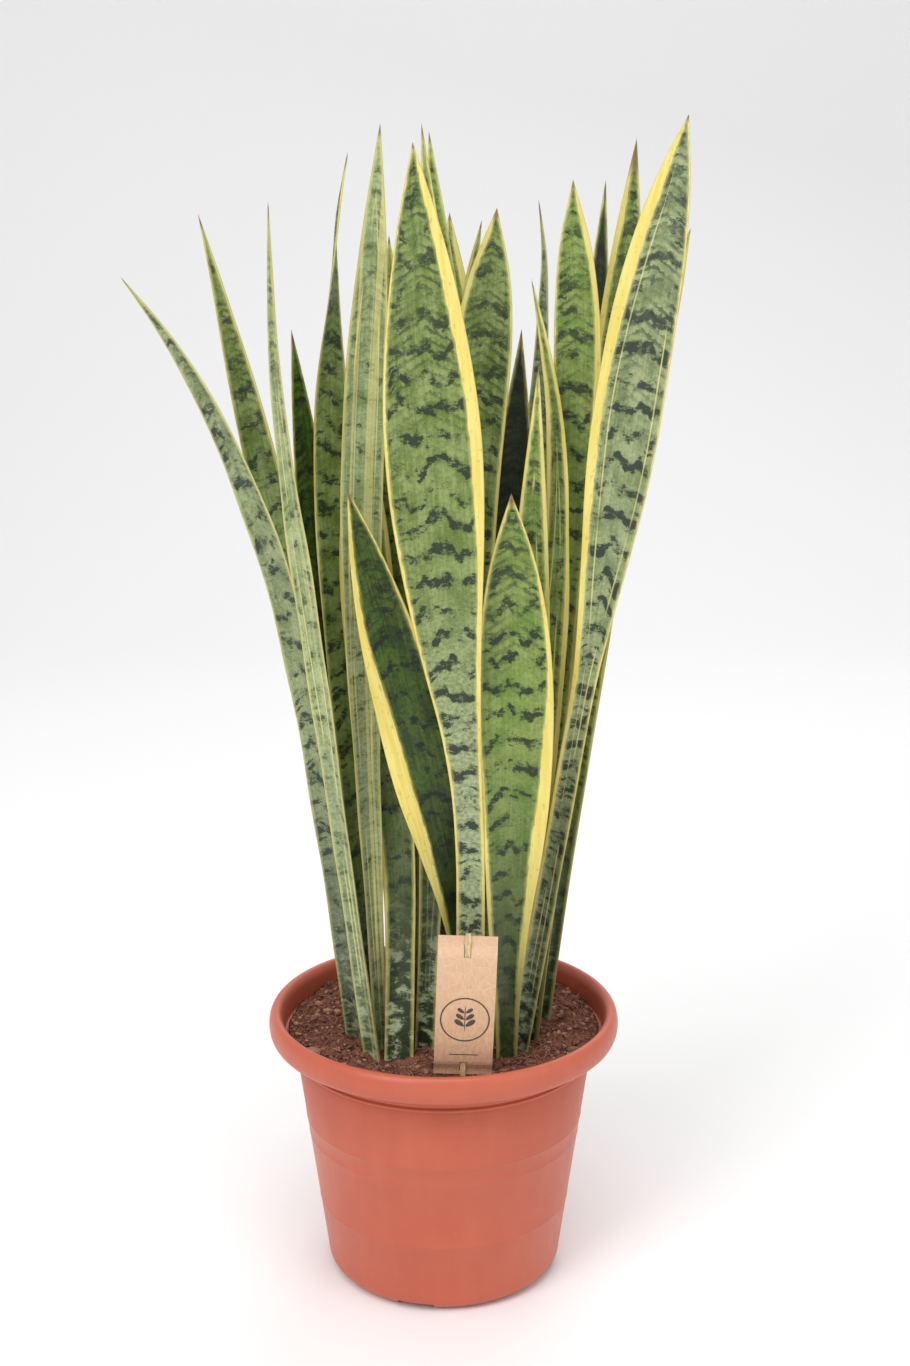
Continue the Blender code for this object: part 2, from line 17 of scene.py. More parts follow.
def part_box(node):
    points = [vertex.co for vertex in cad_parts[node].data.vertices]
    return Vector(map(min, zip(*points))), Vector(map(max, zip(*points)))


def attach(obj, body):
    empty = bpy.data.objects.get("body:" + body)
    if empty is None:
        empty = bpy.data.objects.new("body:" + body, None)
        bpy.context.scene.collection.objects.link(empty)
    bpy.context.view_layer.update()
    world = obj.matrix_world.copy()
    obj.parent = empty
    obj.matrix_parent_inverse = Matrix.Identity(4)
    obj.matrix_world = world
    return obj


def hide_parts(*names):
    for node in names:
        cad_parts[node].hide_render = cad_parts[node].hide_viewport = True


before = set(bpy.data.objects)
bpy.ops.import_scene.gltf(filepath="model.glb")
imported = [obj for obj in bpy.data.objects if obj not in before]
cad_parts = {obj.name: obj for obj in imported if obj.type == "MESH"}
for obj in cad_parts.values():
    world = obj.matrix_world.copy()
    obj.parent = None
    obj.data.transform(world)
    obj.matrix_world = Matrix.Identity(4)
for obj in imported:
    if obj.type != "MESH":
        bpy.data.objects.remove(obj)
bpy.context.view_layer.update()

bl_info = {
    "name": "Potted Snake Plant",
    "version": (1, 0, 0),
    "blender": (4, 5, 0),
    "location": "View3D > Sidebar > Snake Plant",
    "description": "Builds a variegated snake plant in a terracotta-coloured nursery pot with a card label",
    "category": "Object",
}

MM = 0.001
ROOT = "root"


def shade(red, green, blue):
    """A colour given in the usual 0 to 255 screen values, as linear light."""
    return tuple(((c / 255 + 0.055) / 1.055) ** 2.4 if c > 10 else c / 3294 for c in (red, green, blue))


# --- What each leaf looks like ---
# A tone is the leaf's green, its paler green and its dark markings; the dark one also gives the painted shade
# near the foot.
Tone = namedtuple("Tone", "green pale dark")
TONES = {
    "fresh": Tone(shade(100, 128, 48), shade(138, 156, 82), shade(26, 42, 22)),
    "leafy": Tone(shade(94, 116, 46), shade(136, 152, 90), shade(28, 44, 26)),
    "grey": Tone(shade(110, 126, 80), shade(154, 164, 118), shade(34, 48, 36)),
    "dark": Tone(shade(38, 60, 10), shade(74, 100, 24), shade(16, 26, 12)),
    # deep is painted shadow: a darkened copy of the greens, for leaves that stand in shade inside the clump
    "deep": Tone(shade(26, 38, 18), shade(44, 58, 30), shade(12, 18, 10)),
    "silver": Tone(shade(126, 142, 92), shade(168, 180, 130), shade(60, 76, 46)),
}

# left and right are the widths of the yellow margins as seen from the leaf's front, spaced evenly from the
# foot to the tip. rows is how strong the cross-bands are, mottle how pale and cloudy the foot is, ripple how
# wavy the margins are, dry how far the tip has dried, glow how bright a yellow the margins are, stripes how
# many pale lines run up the blade, and bloom how grey and pale the lower blade is. Lengths are millimetres.
Look = namedtuple("Look", "tone left right rows mottle ripple dry glow stripes bloom", defaults=(0, 0))
LOOKS = {
    "leaf_front_tall": Look("leafy", (1.5, 2, 2, 1), (1.5, 2, 4, 9, 4.5), 1.1, 0.2, 2, 5, 0.9, bloom=0.9),
    "leaf_front_right_short": Look("fresh", (2, 2.5, 2.5, 1.5), (1.5, 5, 8.5, 4, 0.8), 1, 0.1, 1.5, 9, 0.9),
    "leaf_front_left_short": Look("dark", (0.5, 3, 14, 7, 2), (1, 2, 2.5, 1), 0.9, 0, 2, 9, 1),
    "leaf_right_tall": Look("grey", (1, 3, 6.5, 8), (1, 1, 1, 1),
                            1.2, 0.9, 1, 5, 0.9, stripes=0.2, bloom=0.35),
    "leaf_far_right": Look("leafy", (1.5, 2, 3, 3), (2, 7, 8, 5), 0.9, 0.9, 1, 5, 0.9),
    "leaf_right_inner_short": Look("fresh", (2, 2.5, 3, 2), (2, 2.5, 3, 2),
                                   0.9, 0.2, 1.5, 8, 0.7, stripes=0.2),
    "leaf_centre_right_twisted": Look("leafy", (1.5, 3, 4, 3), (1.5, 3, 4, 3),
                                      0.8, 0.2, 1.5, 8, 0.8, stripes=0.4),
    "leaf_right_centre_broad": Look("fresh", (0.8, 1, 1.3, 1), (1, 3, 5, 4), 1, 0.2, 1, 7, 0.7),
    "leaf_right_yellow_behind": Look("leafy", (2, 5, 8, 7), (2, 5, 7, 5), 0.6, 0.2, 1, 6, 0.8),
    "leaf_right_curled_tip": Look("leafy", (1, 2, 5, 4), (1, 1.5, 2, 1), 1, 0.4, 0.8, 26, 0.7),
    # painted shadow: this leaf takes the deep tone because it stands in shade inside the clump
    "leaf_right_dark_narrow": Look("deep", (1, 1, 1, 1), (1, 1, 1, 1), 1, 0.5, 0.8, 9, 0.3),
    "leaf_back_thin_grey": Look("grey", (0.8, 1, 1, 0.8), (0.8, 1, 1, 0.8), 0.9, 0.3, 0.8, 18, 0.3),
    "leaf_centre_back_broad": Look("leafy", (1.5, 3, 5, 4), (1, 1.5, 2, 1.5), 1, 0.2, 1, 8, 0.6),
    "leaf_back_centre_narrow": Look("leafy", (1.5, 2, 3, 3), (1.5, 2, 3, 3), 0.9, 0.2, 1, 7, 0.5),
    "leaf_back_centre_short": Look("leafy", (1.5, 3, 4, 4), (1.5, 3, 4, 4), 0.9, 0.2, 1, 7, 0.6),
    "leaf_centre_sheath_right": Look("fresh", (1, 1.5, 1.5, 1), (1, 1.5, 1.5, 1), 1, 0.6, 0.8, 9, 0.3),
    "leaf_centre_sheath_left": Look("leafy", (0.8, 1.2, 1.5, 1), (0.8, 1.2, 1.5, 1),
                                    0.8, 1, 0.8, 9, 0.5, stripes=0.1),
    "leaf_behind_centre": Look("leafy", (1, 2, 3, 3), (1, 2, 3, 3), 0.7, 0.3, 1, 7, 0.5, stripes=0.3),
    "leaf_yellow_edge": Look("leafy", (1, 4, 9, 8), (1.5, 2, 3, 3), 0.8, 1, 1.5, 6, 0.9),
    "leaf_left_centre_tall": Look("silver", (0.8, 1.2, 1.6, 1), (0.8, 1.2, 1.6, 1),
                                  0.6, 0.5, 1, 10, 0.3, stripes=0.7, bloom=0.5),
    "leaf_left_channel": Look("silver", (0.8, 1, 1.2, 0.8), (0.8, 1, 1.3, 0.8),
                              0.7, 0.9, 0.8, 12, 0.3, stripes=0.5, bloom=0.5),
    "leaf_left_twisted": Look("leafy", (0.8, 1, 1.4, 1.2), (0.8, 1, 1.4, 1), 1, 0.4, 1, 12, 0.6),
    "leaf_left_dark_tip": Look("dark", (0.5, 0.7, 0.8, 0.6), (0.5, 0.7, 0.8, 0.6), 1, 0.3, 0.8, 14, 0.3),
    "leaf_far_left_arching": Look("grey", (0.5, 0.7, 0.9, 0.7), (0.6, 0.9, 1.6, 1.4),
                                  1, 0.6, 0.8, 8, 0.3, bloom=0.25),
    "leaf_left_leaning": Look("leafy", (0.5, 0.7, 0.9, 0.9), (0.6, 1, 1.8, 1.6),
                              0.9, 0.4, 1.2, 12, 0.5, bloom=0.2),
    # painted shadow: this leaf takes the deep tone because it stands in shade inside the clump
    "leaf_dark_inner": Look("deep", (1, 1, 1.5, 1), (1, 1, 1.5, 1), 1, 0.2, 1, 8, 0.3),
    "leaf_pale_small": Look("silver", (1, 2, 2.5, 1.5), (1, 2, 2.5, 1.5), 0.6, 0.4, 1, 8, 0.3, stripes=0.4),
}


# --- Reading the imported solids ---
def corners_of(node):
    """Every corner of a CAD node, doubled ones joined, and the pairs of corners that share an edge."""
    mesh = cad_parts[node].data
    places = np.zeros(len(mesh.vertices) * 3)
    mesh.vertices.foreach_get("co", places)
    places = places.reshape(-1, 3)
    first, joined = np.unique(np.round(places / (0.02 * MM)), axis=0, return_index=True,
                              return_inverse=True)[1:]
    joined = joined.reshape(-1)
    edges = {(joined[e.vertices[0]], joined[e.vertices[1]]) for e in mesh.edges}
    return places[first], [(a, b) for a, b in edges if a != b]


def widest(node, low, high):
    """The greatest distance from the pot's axis among a node's corners between two heights."""
    places = corners_of(node)[0]
    inside = (places[:, 2] >= low) & (places[:, 2] <= high)
    return float(np.hypot(places[inside, 0], places[inside, 1]).max())


POT_LOW, POT_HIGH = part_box("pot")
SOIL_LOW, SOIL_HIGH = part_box("soil")
POT_HEIGHT = POT_HIGH.z - POT_LOW.z
RIM_REACH = POT_HIGH.x


# --- Settings ---
def length(name, description, default):
    """A length that a user may change."""
    return FloatProperty(name=name, description=description, default=default, min=0.0, unit="LENGTH",
                         precision=4)


def colour(name, description, default):
    """A colour that a user may change."""
    return FloatVectorProperty(name=name, description=description, default=default, min=0.0, max=1.0, size=3,
                               subtype="COLOR")


class PotSettings(bpy.types.PropertyGroup):
    """Sizes and colours of the pot."""
    height: length("Height", "From the foot to the top of the rim", POT_HEIGHT)
    rim_radius: length("Rim radius", "Outside of the rolled rim", RIM_REACH)
    rim_band_width: length("Rim width", "Thickness of the rolled rim", 0.0115)
    rim_band_height: length("Rim height", "Height of the rolled rim", 0.0224)
    collar_height: length("Collar height", "Height of the step under the rim", 0.0165)
    collar_proud: length("Collar depth", "How far that step stands out from the wall", 0.0025)
    wall: length("Wall", "Thickness of the wall and floor", 0.0025)
    heel_radius: length("Heel radius", "Rounding between the wall and the foot", 0.015)
    foot_ring_width: length("Foot ring width", "Width of the ring it stands on", 0.009)
    foot_depth: length("Foot depth", "How far the floor is raised", 0.0085)
    pad_radius: length("Pad radius", "Radius of the pad under the floor's centre", 0.030)
    plastic: colour("Plastic", "Colour of the moulded plastic", shade(193, 97, 72))
    plastic_deep: colour("Deep plastic", "Colour in the plastic's darker drifts", shade(187, 91, 67))
    segments: IntProperty(name="Segments", description="Sides round the pot", default=160, min=24, max=400)


class SoilSettings(bpy.types.PropertyGroup):
    """Sizes and colours of the potting mix."""
    bumps: length("Bumps", "Height of the larger lumps in its surface", 0.0042)
    grain: length("Grain", "Height of the smaller lumps in its surface", 0.0024)
    crumb: length("Crumb", "Usual size of a crumb", 0.0034)
    crumbs: IntProperty(name="Crumbs", description="How many loose crumbs lie on it", default=2400, min=0)
    fibres: IntProperty(name="Fibres", description="How many loose fibres lie on it", default=700, min=0)
    earth: colour("Earth", "Colour of the mix", shade(134, 86, 68))
    chip: colour("Chip", "Colour of the palest chips", shade(190, 140, 114))
    fibre: colour("Fibre", "Colour of the fibres", shade(158, 112, 90))


class LeafSettings(bpy.types.PropertyGroup):
    """Sizes and colours of the leaves."""
    row_spacing: length("Row spacing", "From one cross-band to the next", 0.021)
    yellow: colour("Yellow", "Colour of the margins", shade(223, 198, 86))
    yellow_pale: colour("Pale yellow", "Colour of the margins' paler lines", shade(234, 222, 138))
    cream: colour("Cream", "Colour of the paler leaves' margins", shade(186, 188, 118))
    ochre: colour("Ochre", "Colour of the margins near the foot", shade(196, 150, 60))
    dry: colour("Dry", "Colour of dried tips and hems", shade(112, 86, 52))
    stations: IntProperty(name="Stations", description="Sections between two of the solid's rings",
                          default=6, min=1, max=20)
    across: IntProperty(name="Across", description="Strips across each face of a leaf", default=18, min=6,
                        max=60)


class LabelSettings(bpy.types.PropertyGroup):
    """Sizes and colours of the label."""
    ring_radius: length("Ring radius", "Radius of the printed ring", 0.0190)
    ring_line: length("Ring line", "Width of the printed ring's line", 0.0011)
    ring_rise: length("Ring height", "From the card's lower edge to the ring's centre", 0.050)
    ink_thickness: length("Ink", "Thickness of the printed pieces", 0.00012)
    kraft: colour("Kraft", "Colour of the card", shade(216, 178, 144))
    kraft_deep: colour("Deep kraft", "Colour of the card's lower end", shade(198, 154, 122))
    ink: colour("Ink", "Colour of the print", shade(74, 62, 50))
    wood: colour("Wood", "Colour of the stick", shade(226, 198, 150))


class StageSettings(bpy.types.PropertyGroup):
    """The floor, the lights and the camera."""
    floor: colour("Floor", "Colour of the floor", (0.93, 0.93, 0.93))
    camera_distance: length("Camera distance", "From the pot's axis, along the floor", 1.511)
    camera_height: length("Camera height", "Over the floor", 0.880)
    camera_pitch: FloatProperty(name="Camera pitch", description="How far the camera looks down",
                                default=radians(14.24), subtype="ANGLE")
    camera_lens: FloatProperty(name="Lens", description="Focal length in millimetres", default=52.3, min=1.0)


SETTINGS = {"pot": PotSettings, "soil": SoilSettings, "leaves": LeafSettings, "label": LabelSettings,
            "stage": StageSettings}


# --- Shader nodes ---
class Value:
    """A shader node's output, for plain arithmetic."""

    def __init__(self, recipe, socket):
        self.recipe, self.socket = recipe, socket

    def __add__(self, other):
        return self.recipe.math("ADD", self, other)

    def __sub__(self, other):
        return self.recipe.math("SUBTRACT", self, other)

    def __mul__(self, other):
        return self.recipe.math("MULTIPLY", self, other)

    def __rsub__(self, other):
        return self.recipe.math("SUBTRACT", other, self)


class Recipe:
    """Adds shader nodes to a tree and joins them. What a method gives back can go into the next one."""

    def __init__(self, tree):
        self.tree = tree

    def feed(self, sockets, values):
        """Join or set some of a node's inputs, which are given by number or name."""
        for key, value in values.items():
            socket = sockets[key]
            if isinstance(value, Value):
                self.tree.links.new(value.socket, socket)
            elif hasattr(value, "__len__") and len(socket.default_value) > len(value):
                socket.default_value = (*value, 1.0)
            else:
                socket.default_value = value

    def node(self, kind, values, output=0, **settings):
        """Add a node, and give back one of its outputs."""
        node = self.tree.nodes.new("ShaderNode" + kind)
        for name, setting in settings.items():
            setattr(node, name, setting)
        self.feed(node.inputs, values)
        return Value(self, node.outputs[output])

    def attribute(self, name, output="Fac"):
        """A value stored on the mesh."""
        return self.node("Attribute", {}, output, attribute_name=name)

    def math(self, operation, *values):
        """Plain arithmetic."""
        return self.node("Math", dict(enumerate(values)), operation=operation)

    def noise(self, place, stretch, detail=2, roughness=0.5, distortion=0.0):
        """Smooth noise from 0 to 1, mostly near a half, at a place multiplied along each axis."""
        place = self.node("VectorMath", {0: place, 1: stretch}, operation="MULTIPLY")
        return self.node("TexNoise", {"Vector": place, "Scale": 1.0, "Detail": detail,
                                      "Roughness": roughness, "Distortion": distortion})

    def step(self, value, low, high, start=0.0, end=1.0):
        """Ease from start to end while the value goes from low to high."""
        return self.node("MapRange", dict(enumerate((value, low, high, start, end))),
                         interpolation_type="SMOOTHSTEP")

    def mix(self, share, first, second):
        """Mix two colours."""
        return self.node("Mix", {0: share, 6: first, 7: second}, 2, data_type="RGBA")

    def bump(self, height, distance, strength=1.0):
        """A bump from a height between 0 and 1."""
        return self.node("Bump", {"Height": height, "Distance": distance, "Strength": strength})


class Material(Recipe):
    """The recipe of a new material."""

    def __init__(self, name):
        self.material = bpy.data.materials.new(name)
        self.material.use_nodes = True
        super().__init__(self.material.node_tree)

    def here(self):
        """The place on the object, in metres."""
        return self.node("TexCoord", {}, "Object")

    def finish(self, base, roughness, bump=None, specular=0.5):
        """Set the shader's inputs and give back the material."""
        sockets = self.tree.nodes["Principled BSDF"].inputs
        self.feed(sockets, {"Base Color": base, "Roughness": roughness, "Specular IOR Level": specular})
        if bump:
            self.feed(sockets, {"Normal": bump})
        return self.material


# --- Building pieces ---
def circle(radius, count, middle_x=0.0, middle_y=0.0):
    """Points evenly round a circle, as (x, y)."""
    return [(middle_x + radius * cos(2 * pi * k / count), middle_y + radius * sin(2 * pi * k / count))
            for k in range(count)]


def tube_faces(rings, around):
    """Faces between one ring and the next, when the rings' corners follow one another."""
    return [(low + k, low + (k + 1) % around, low + around + (k + 1) % around, low + around + k)
            for low in range(0, (rings - 1) * around, around) for k in range(around)]


def put_in_scene(name, data):
    """A new object in the scene."""
    item = bpy.data.objects.new(name, data)
    bpy.context.scene.collection.objects.link(item)
    return item


def new_mesh(name, places, faces):
    """A smooth-shaded mesh."""
    mesh = bpy.data.meshes.new(name)
    mesh.from_pydata([tuple(p) for p in places], [], [tuple(int(k) for k in face) for face in faces])
    mesh.validate()
    mesh.shade_smooth()
    return mesh


def add_piece(name, places, faces, material, stands_for=()):
    """A smooth-shaded piece of the object, riding on the frame."""
    piece = put_in_scene(name, new_mesh(name, places, faces))
    piece.data.materials.append(material)
    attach(piece, ROOT)
    if stands_for:
        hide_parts(*stands_for)
    return piece


def store(piece, name, values):
    """Keep one number or vector for each corner of a piece, for its material to read."""
    values = np.asarray(values, dtype=np.float32)
    kind, field = ("FLOAT", "value") if values.ndim == 1 else ("FLOAT_VECTOR", "vector")
    piece.data.attributes.new(name, kind, "POINT").data.foreach_set(field, values.ravel())


def dress(node, material):
    """Give a CAD node that is shown as it is a better material."""
    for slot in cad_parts[node].material_slots:
        slot.material = material


def ease(share):
    """Ease from 0 to 1."""
    share = min(1.0, max(0.0, share))
    return share * share * (3.0 - 2.0 * share)


def through(values, place):
    """Read a smooth curve through a list of numbers or vectors, at a place counted along the list."""
    index = min(int(place), len(values) - 2)
    part = place - index
    before, start = values[max(index - 1, 0)], values[index]
    end, after = values[index + 1], values[min(index + 2, len(values) - 1)]
    bend, next_bend = (end - before) * 0.5, (after - start) * 0.5
    cube, square = part ** 3, part ** 2
    return (start * (2 * cube - 3 * square + 1) + bend * (cube - 2 * square + part)
            + end * (3 * square - 2 * cube) + next_bend * (cube - square))


# --- Pot ---
NOTCH_COUNT = 4
NOTCH_WIDTH = 0.030
NOTCH_HEIGHT = 0.0070
NOTCH_FIRST_ANGLE = radians(256)
NOTCH_PAST_RING = 0.002       # how far a notch's cut starts inside the foot ring
NOTCH_PAST_WALL = 0.005       # how far it runs on outside the wall
DRAIN_COUNT = 8
DRAIN_RADIUS = 0.005
DRAIN_SIDES = 24
DRAIN_PLACE = 0.47            # share of the way from the pad out to the foot ring
DRAIN_FIRST_ANGLE = radians(10)
MOULD_RINGS = ((0.135, 0.00035), (0.120, 0.00022), (0.062, 0.00030))  # height up the wall, and how proud
MOULD_RING_HALF = 0.0012
MOULD_RING_STEPS = 4          # points on each half of such a ring's section

# under the rim: a groove, a small bead, a shallower groove and the collar, by heights over the wall's top
RIM_GROOVE = 0.0009           # depth of the lower groove; the upper one is half as deep
LOWER_GROOVE_END = 0.0009
BEAD_MIDDLE = 0.0030
BEAD_RADIUS = 0.0013
BEAD_PROUD = 0.6              # share of the collar's depth
UPPER_GROOVE = (0.0052, 0.0060)
COLLAR_EDGE_MIDDLE = 0.0076
COLLAR_EDGE_RADIUS = 0.0011


def arc(centre_r, centre_z, half_width, half_height, start, end, steps, square=2.0):
    """Points of an arc as (radius, height), angles in degrees; a square over 2 fills out its corners."""
    points = []
    for step in range(steps + 1):
        angle = radians(start + (end - start) * step / steps)
        c, s = cos(angle), sin(angle)
        reach = (abs(c) ** square + abs(s) ** square) ** (-1 / square)
        points.append((centre_r + half_width * c * reach, centre_z + half_height * s * reach))
    return points


def pot_outline(pot):
    """The pot's section as (radius, height), from under the floor's middle round to its middle inside."""
    wall_top = pot.height - pot.rim_band_height - pot.collar_height
    top_radius = widest("pot", wall_top - MM, wall_top + MM / 4)
    foot_radius = widest("pot", pot.heel_radius - MM, pot.heel_radius + MM)
    foot_outer = foot_radius - pot.heel_radius
    foot_inner = foot_outer - pot.foot_ring_width
    floor_top = pot.foot_depth + pot.wall
    slope = (top_radius - foot_radius) / (wall_top - pot.heel_radius)

    def wall_at(height):
        return foot_radius + slope * (height - pot.heel_radius)

    outline = [(0.0, 0.0), (pot.pad_radius - MM, 0.0)]
    outline += arc(pot.pad_radius - MM, MM, MM, MM, -60, 0, 2)
    outline += [(pot.pad_radius, pot.foot_depth - MM), (pot.pad_radius + MM, pot.foot_depth)]
    outline += [(foot_inner - MM, pot.foot_depth), (foot_inner, pot.foot_depth - MM)]
    outline += [(foot_inner, 0.6 * MM), (foot_inner + 0.6 * MM, 0.0)]
    outline += arc(foot_outer, pot.heel_radius, pot.heel_radius, pot.heel_radius, -90, 0, 12)
    for height, proud in sorted(MOULD_RINGS):
        for k in range(-MOULD_RING_STEPS, MOULD_RING_STEPS + 1):
            z = height + MOULD_RING_HALF * k / MOULD_RING_STEPS
            outline.append((wall_at(z) + proud * cos(pi / 2 * k / MOULD_RING_STEPS), z))

    bead = top_radius + BEAD_PROUD * pot.collar_proud - BEAD_RADIUS
    collar = top_radius + pot.collar_proud
    shoulder = wall_top + pot.collar_height
    outline += [(wall_at(wall_top - MM), wall_top - MM), (top_radius - RIM_GROOVE, wall_top)]
    outline += [(top_radius - RIM_GROOVE, wall_top + LOWER_GROOVE_END)]
    outline += arc(bead, wall_top + BEAD_MIDDLE, BEAD_RADIUS, BEAD_RADIUS, -80, 80, 8)
    outline += [(top_radius - RIM_GROOVE / 2, wall_top + height) for height in UPPER_GROOVE]
    outline += arc(collar - COLLAR_EDGE_RADIUS, wall_top + COLLAR_EDGE_MIDDLE, COLLAR_EDGE_RADIUS,
                   COLLAR_EDGE_RADIUS, -80, 0, 4)
    outline += [(collar, shoulder - 1.5 * MM), (collar - 0.4 * MM, shoulder)]

    rim_middle = (pot.rim_radius - pot.rim_band_width / 2, pot.height - pot.rim_band_height / 2)
    outline += arc(*rim_middle, pot.rim_band_width / 2, pot.rim_band_height / 2, -90, 165, 28, 2.1)
    inner_lip = pot.rim_radius - pot.rim_band_width
    inner_top = top_radius - pot.wall
    outline += [(inner_lip, rim_middle[1]), (inner_lip - MM, shoulder + 2 * MM)]
    outline += [(inner_top + pot.collar_proud, shoulder), (inner_top, wall_top)]
    inner_heel = pot.heel_radius - floor_top
    outline += arc(foot_radius - pot.wall - inner_heel, pot.heel_radius, inner_heel, inner_heel, 0, -90, 8)
    dish = pot.pad_radius - pot.wall
    outline += [(dish, floor_top), (dish, pot.wall), (0.0, pot.wall)]
    return outline, foot_inner, foot_radius


def turn_outline(outline, segments):
    """Corners and faces of an outline turned round the pot's axis."""
    places, faces, rings = [], [], []
    for radius, height in outline:
        ring = circle(radius, segments if radius > 0.0 else 1)
        rings.append(range(len(places), len(places) + len(ring)))
        places += [(x, y, height) for x, y in ring]
    for lower, upper in zip(rings, rings[1:]):
        for k in range(segments):
            after = (k + 1) % segments
            corners = (lower[k % len(lower)], lower[after % len(lower)],
                       upper[after % len(upper)], upper[k % len(upper)])
            faces.append(tuple(dict.fromkeys(corners)))
    return places, faces


def cut_away(piece, places, faces):
    """Cut a closed shape out of a piece and leave nothing else behind."""
    mesh = new_mesh("cutter", places, faces)
    cutter = put_in_scene("cutter", mesh)
    modifier = piece.modifiers.new("cut", "BOOLEAN")
    modifier.operation = "DIFFERENCE"
    modifier.solver = "EXACT"
    modifier.object = cutter
    with bpy.context.temp_override(object=piece, active_object=piece):
        bpy.ops.object.modifier_apply(modifier=modifier.name)
    bpy.data.objects.remove(cutter)
    bpy.data.meshes.remove(mesh)


def prism(outline, low, high):
    """A closed upright prism over an outline of (x, y) points."""
    count = len(outline)
    places = [(x, y, z) for z in (low, high) for x, y in outline]
    sides = [(k, (k + 1) % count, count + (k + 1) % count, count + k) for k in range(count)]
    return places, sides + [tuple(range(count))[::-1], tuple(range(count, 2 * count))]


def plastic_material(pot):
    """Satin moulded plastic: slow drifts of colour, faint turning lines, small scuffs and a fine grain."""
    recipe = Material("terracotta_plastic")
    here = recipe.here()
    drift = recipe.noise(here, (9, 9, 14), 4, 0.6)
    rings = recipe.noise(here, (2, 2, 420), 3, 0.7)
    streaks = recipe.noise(here, (46, 46, 3), 3, 0.6)
    scuff = recipe.noise(here, (160, 160, 60), 5, 0.65)
    dust = recipe.noise(here, (900, 900, 900), 1)
    grain = recipe.noise(here, (2600, 2600, 2600))
    base = recipe.mix(recipe.step(drift * 0.6 + streaks * 0.4, 0.36, 0.64), pot.plastic_deep, pot.plastic)
    base = recipe.mix(recipe.step(scuff, 0.66, 0.74, 0.0, 0.16), base, shade(226, 150, 126))
    base = recipe.mix(recipe.step(dust, 0.72, 0.78, 0.0, 0.25), base, shade(120, 62, 48))
    relief = recipe.bump(rings * 0.8 + grain * 0.3, 0.00016, 0.6)
    return recipe.finish(base, scuff * 0.26 + 0.26, relief, 0.42)


def build_pot(pot):
    """The pot: one turned shell with a rolled rim, cut by its water notches and drain holes."""
    outline, foot_inner, foot_radius = pot_outline(pot)
    places, faces = turn_outline(outline, pot.segments)
    shell = add_piece("pot_shell", places, faces, plastic_material(pot), ("pot",))
    start, end = foot_inner - NOTCH_PAST_RING, foot_radius + NOTCH_PAST_WALL
    side = NOTCH_WIDTH / 2
    for index in range(NOTCH_COUNT):
        angle = NOTCH_FIRST_ANGLE + 2 * pi * index / NOTCH_COUNT
        turned = [(x * cos(angle) - y * sin(angle), x * sin(angle) + y * cos(angle))
                  for x, y in ((start, -side), (end, -side), (end, side), (start, side))]
        cut_away(shell, *prism(turned, -NOTCH_HEIGHT, NOTCH_HEIGHT))
    drain_circle = pot.pad_radius + DRAIN_PLACE * (foot_inner - pot.pad_radius)
    for index in range(DRAIN_COUNT):
        angle = DRAIN_FIRST_ANGLE + 2 * pi * index / DRAIN_COUNT
        ring = circle(DRAIN_RADIUS, DRAIN_SIDES, drain_circle * cos(angle), drain_circle * sin(angle))
        cut_away(shell, *prism(ring, -pot.foot_depth, 2 * (pot.foot_depth + pot.wall)))
    shell.data.shade_smooth()
    shell.data.set_sharp_from_angle(angle=radians(50))


# --- Soil ---
SOIL_RINGS = 72
SOIL_SEGMENTS = 240
SOIL_EDGE_DIP = 0.0015        # how far the soil settles where it meets the pot
SOIL_LEVEL_MARGIN = 0.005     # the solid's corners nearer its top or bottom than this aren't on its side
SOIL_SIDE_SHARE = 0.6         # corners nearer the axis than this share of its radius aren't either
LEAF_CLEARANCE = 0.0035       # kept free of crumbs round each leaf
CRUMB_SEED = 11
FIBRE_SEED = 23
FIBRE_STEPS = 9
FIBRE_SIDES = 4


def soil_height(x, y, soil):
    """Height of the uneven surface at a place."""
    spot = Vector((x, y, 0.0))
    lumps = noise.fractal(spot * 32, 0.8, 2.1, 3) * soil.bumps
    grain = noise.fractal(spot * 210, 0.7, 2.1, 3) * soil.grain
    settle = SOIL_EDGE_DIP * ease((sqrt(x * x + y * y) / SOIL_HIGH.x - 0.9) / 0.1)
    return SOIL_HIGH.z + lumps + grain - settle


def earth_material(soil):
    """Damp potting mix: dark crumbs, reddish patches and paler flecks."""
    recipe = Material("potting_mix")
    here = recipe.here()
    patch = recipe.noise(here, (70, 70, 70), 5, 0.7)
    fleck = recipe.noise(here, (620, 620, 620), 4, 0.7, 0.6)
    deep = [c * 0.30 for c in soil.earth]
    base = recipe.mix(recipe.step(patch, 0.35, 0.62), deep, soil.earth)
    base = recipe.mix(recipe.step(fleck, 0.58, 0.70, 0.0, 0.75), base, soil.chip)
    base = recipe.mix(recipe.step(fleck, 0.46, 0.36, 0.0, 0.8), base, deep)
    return recipe.finish(base, 0.95, recipe.bump(fleck, 0.0012), 0.2)


def scatter_material(name, dark, light, roughness):
    """One colour for each loose crumb or fibre, between two, with a little grain."""
    recipe = Material(name)
    grain = recipe.noise(recipe.here(), (900, 900, 900), 3)
    mixed = recipe.mix(recipe.attribute("lightness"), dark, light)
    base = recipe.mix(recipe.step(grain, 0.40, 0.62, 0.0, 0.5), mixed, dark)
    return recipe.finish(base, roughness, recipe.bump(grain, 0.0004), 0.25)


def leaf_feet():
    """Where each leaf meets the soil: the middle of its section, its direction across and half its width."""
    feet = []
    for node in LOOKS:
        ring = min(leaf_rings(node), key=lambda r: abs(r.middle.z - SOIL_HIGH.z))
        feet.append((ring.middle.xy, ring.across.xy.normalized(), ring.half))
    return feet


def clear_of_leaves(x, y, feet, gap):
    """Whether a place on the soil is at least a gap away from every leaf."""
    for middle, across, half in feet:
        offset = Vector((x, y)) - middle
        run = max(-half, min(half, offset.dot(across)))
        if (offset - across * run).length < gap:
            return False
    return True


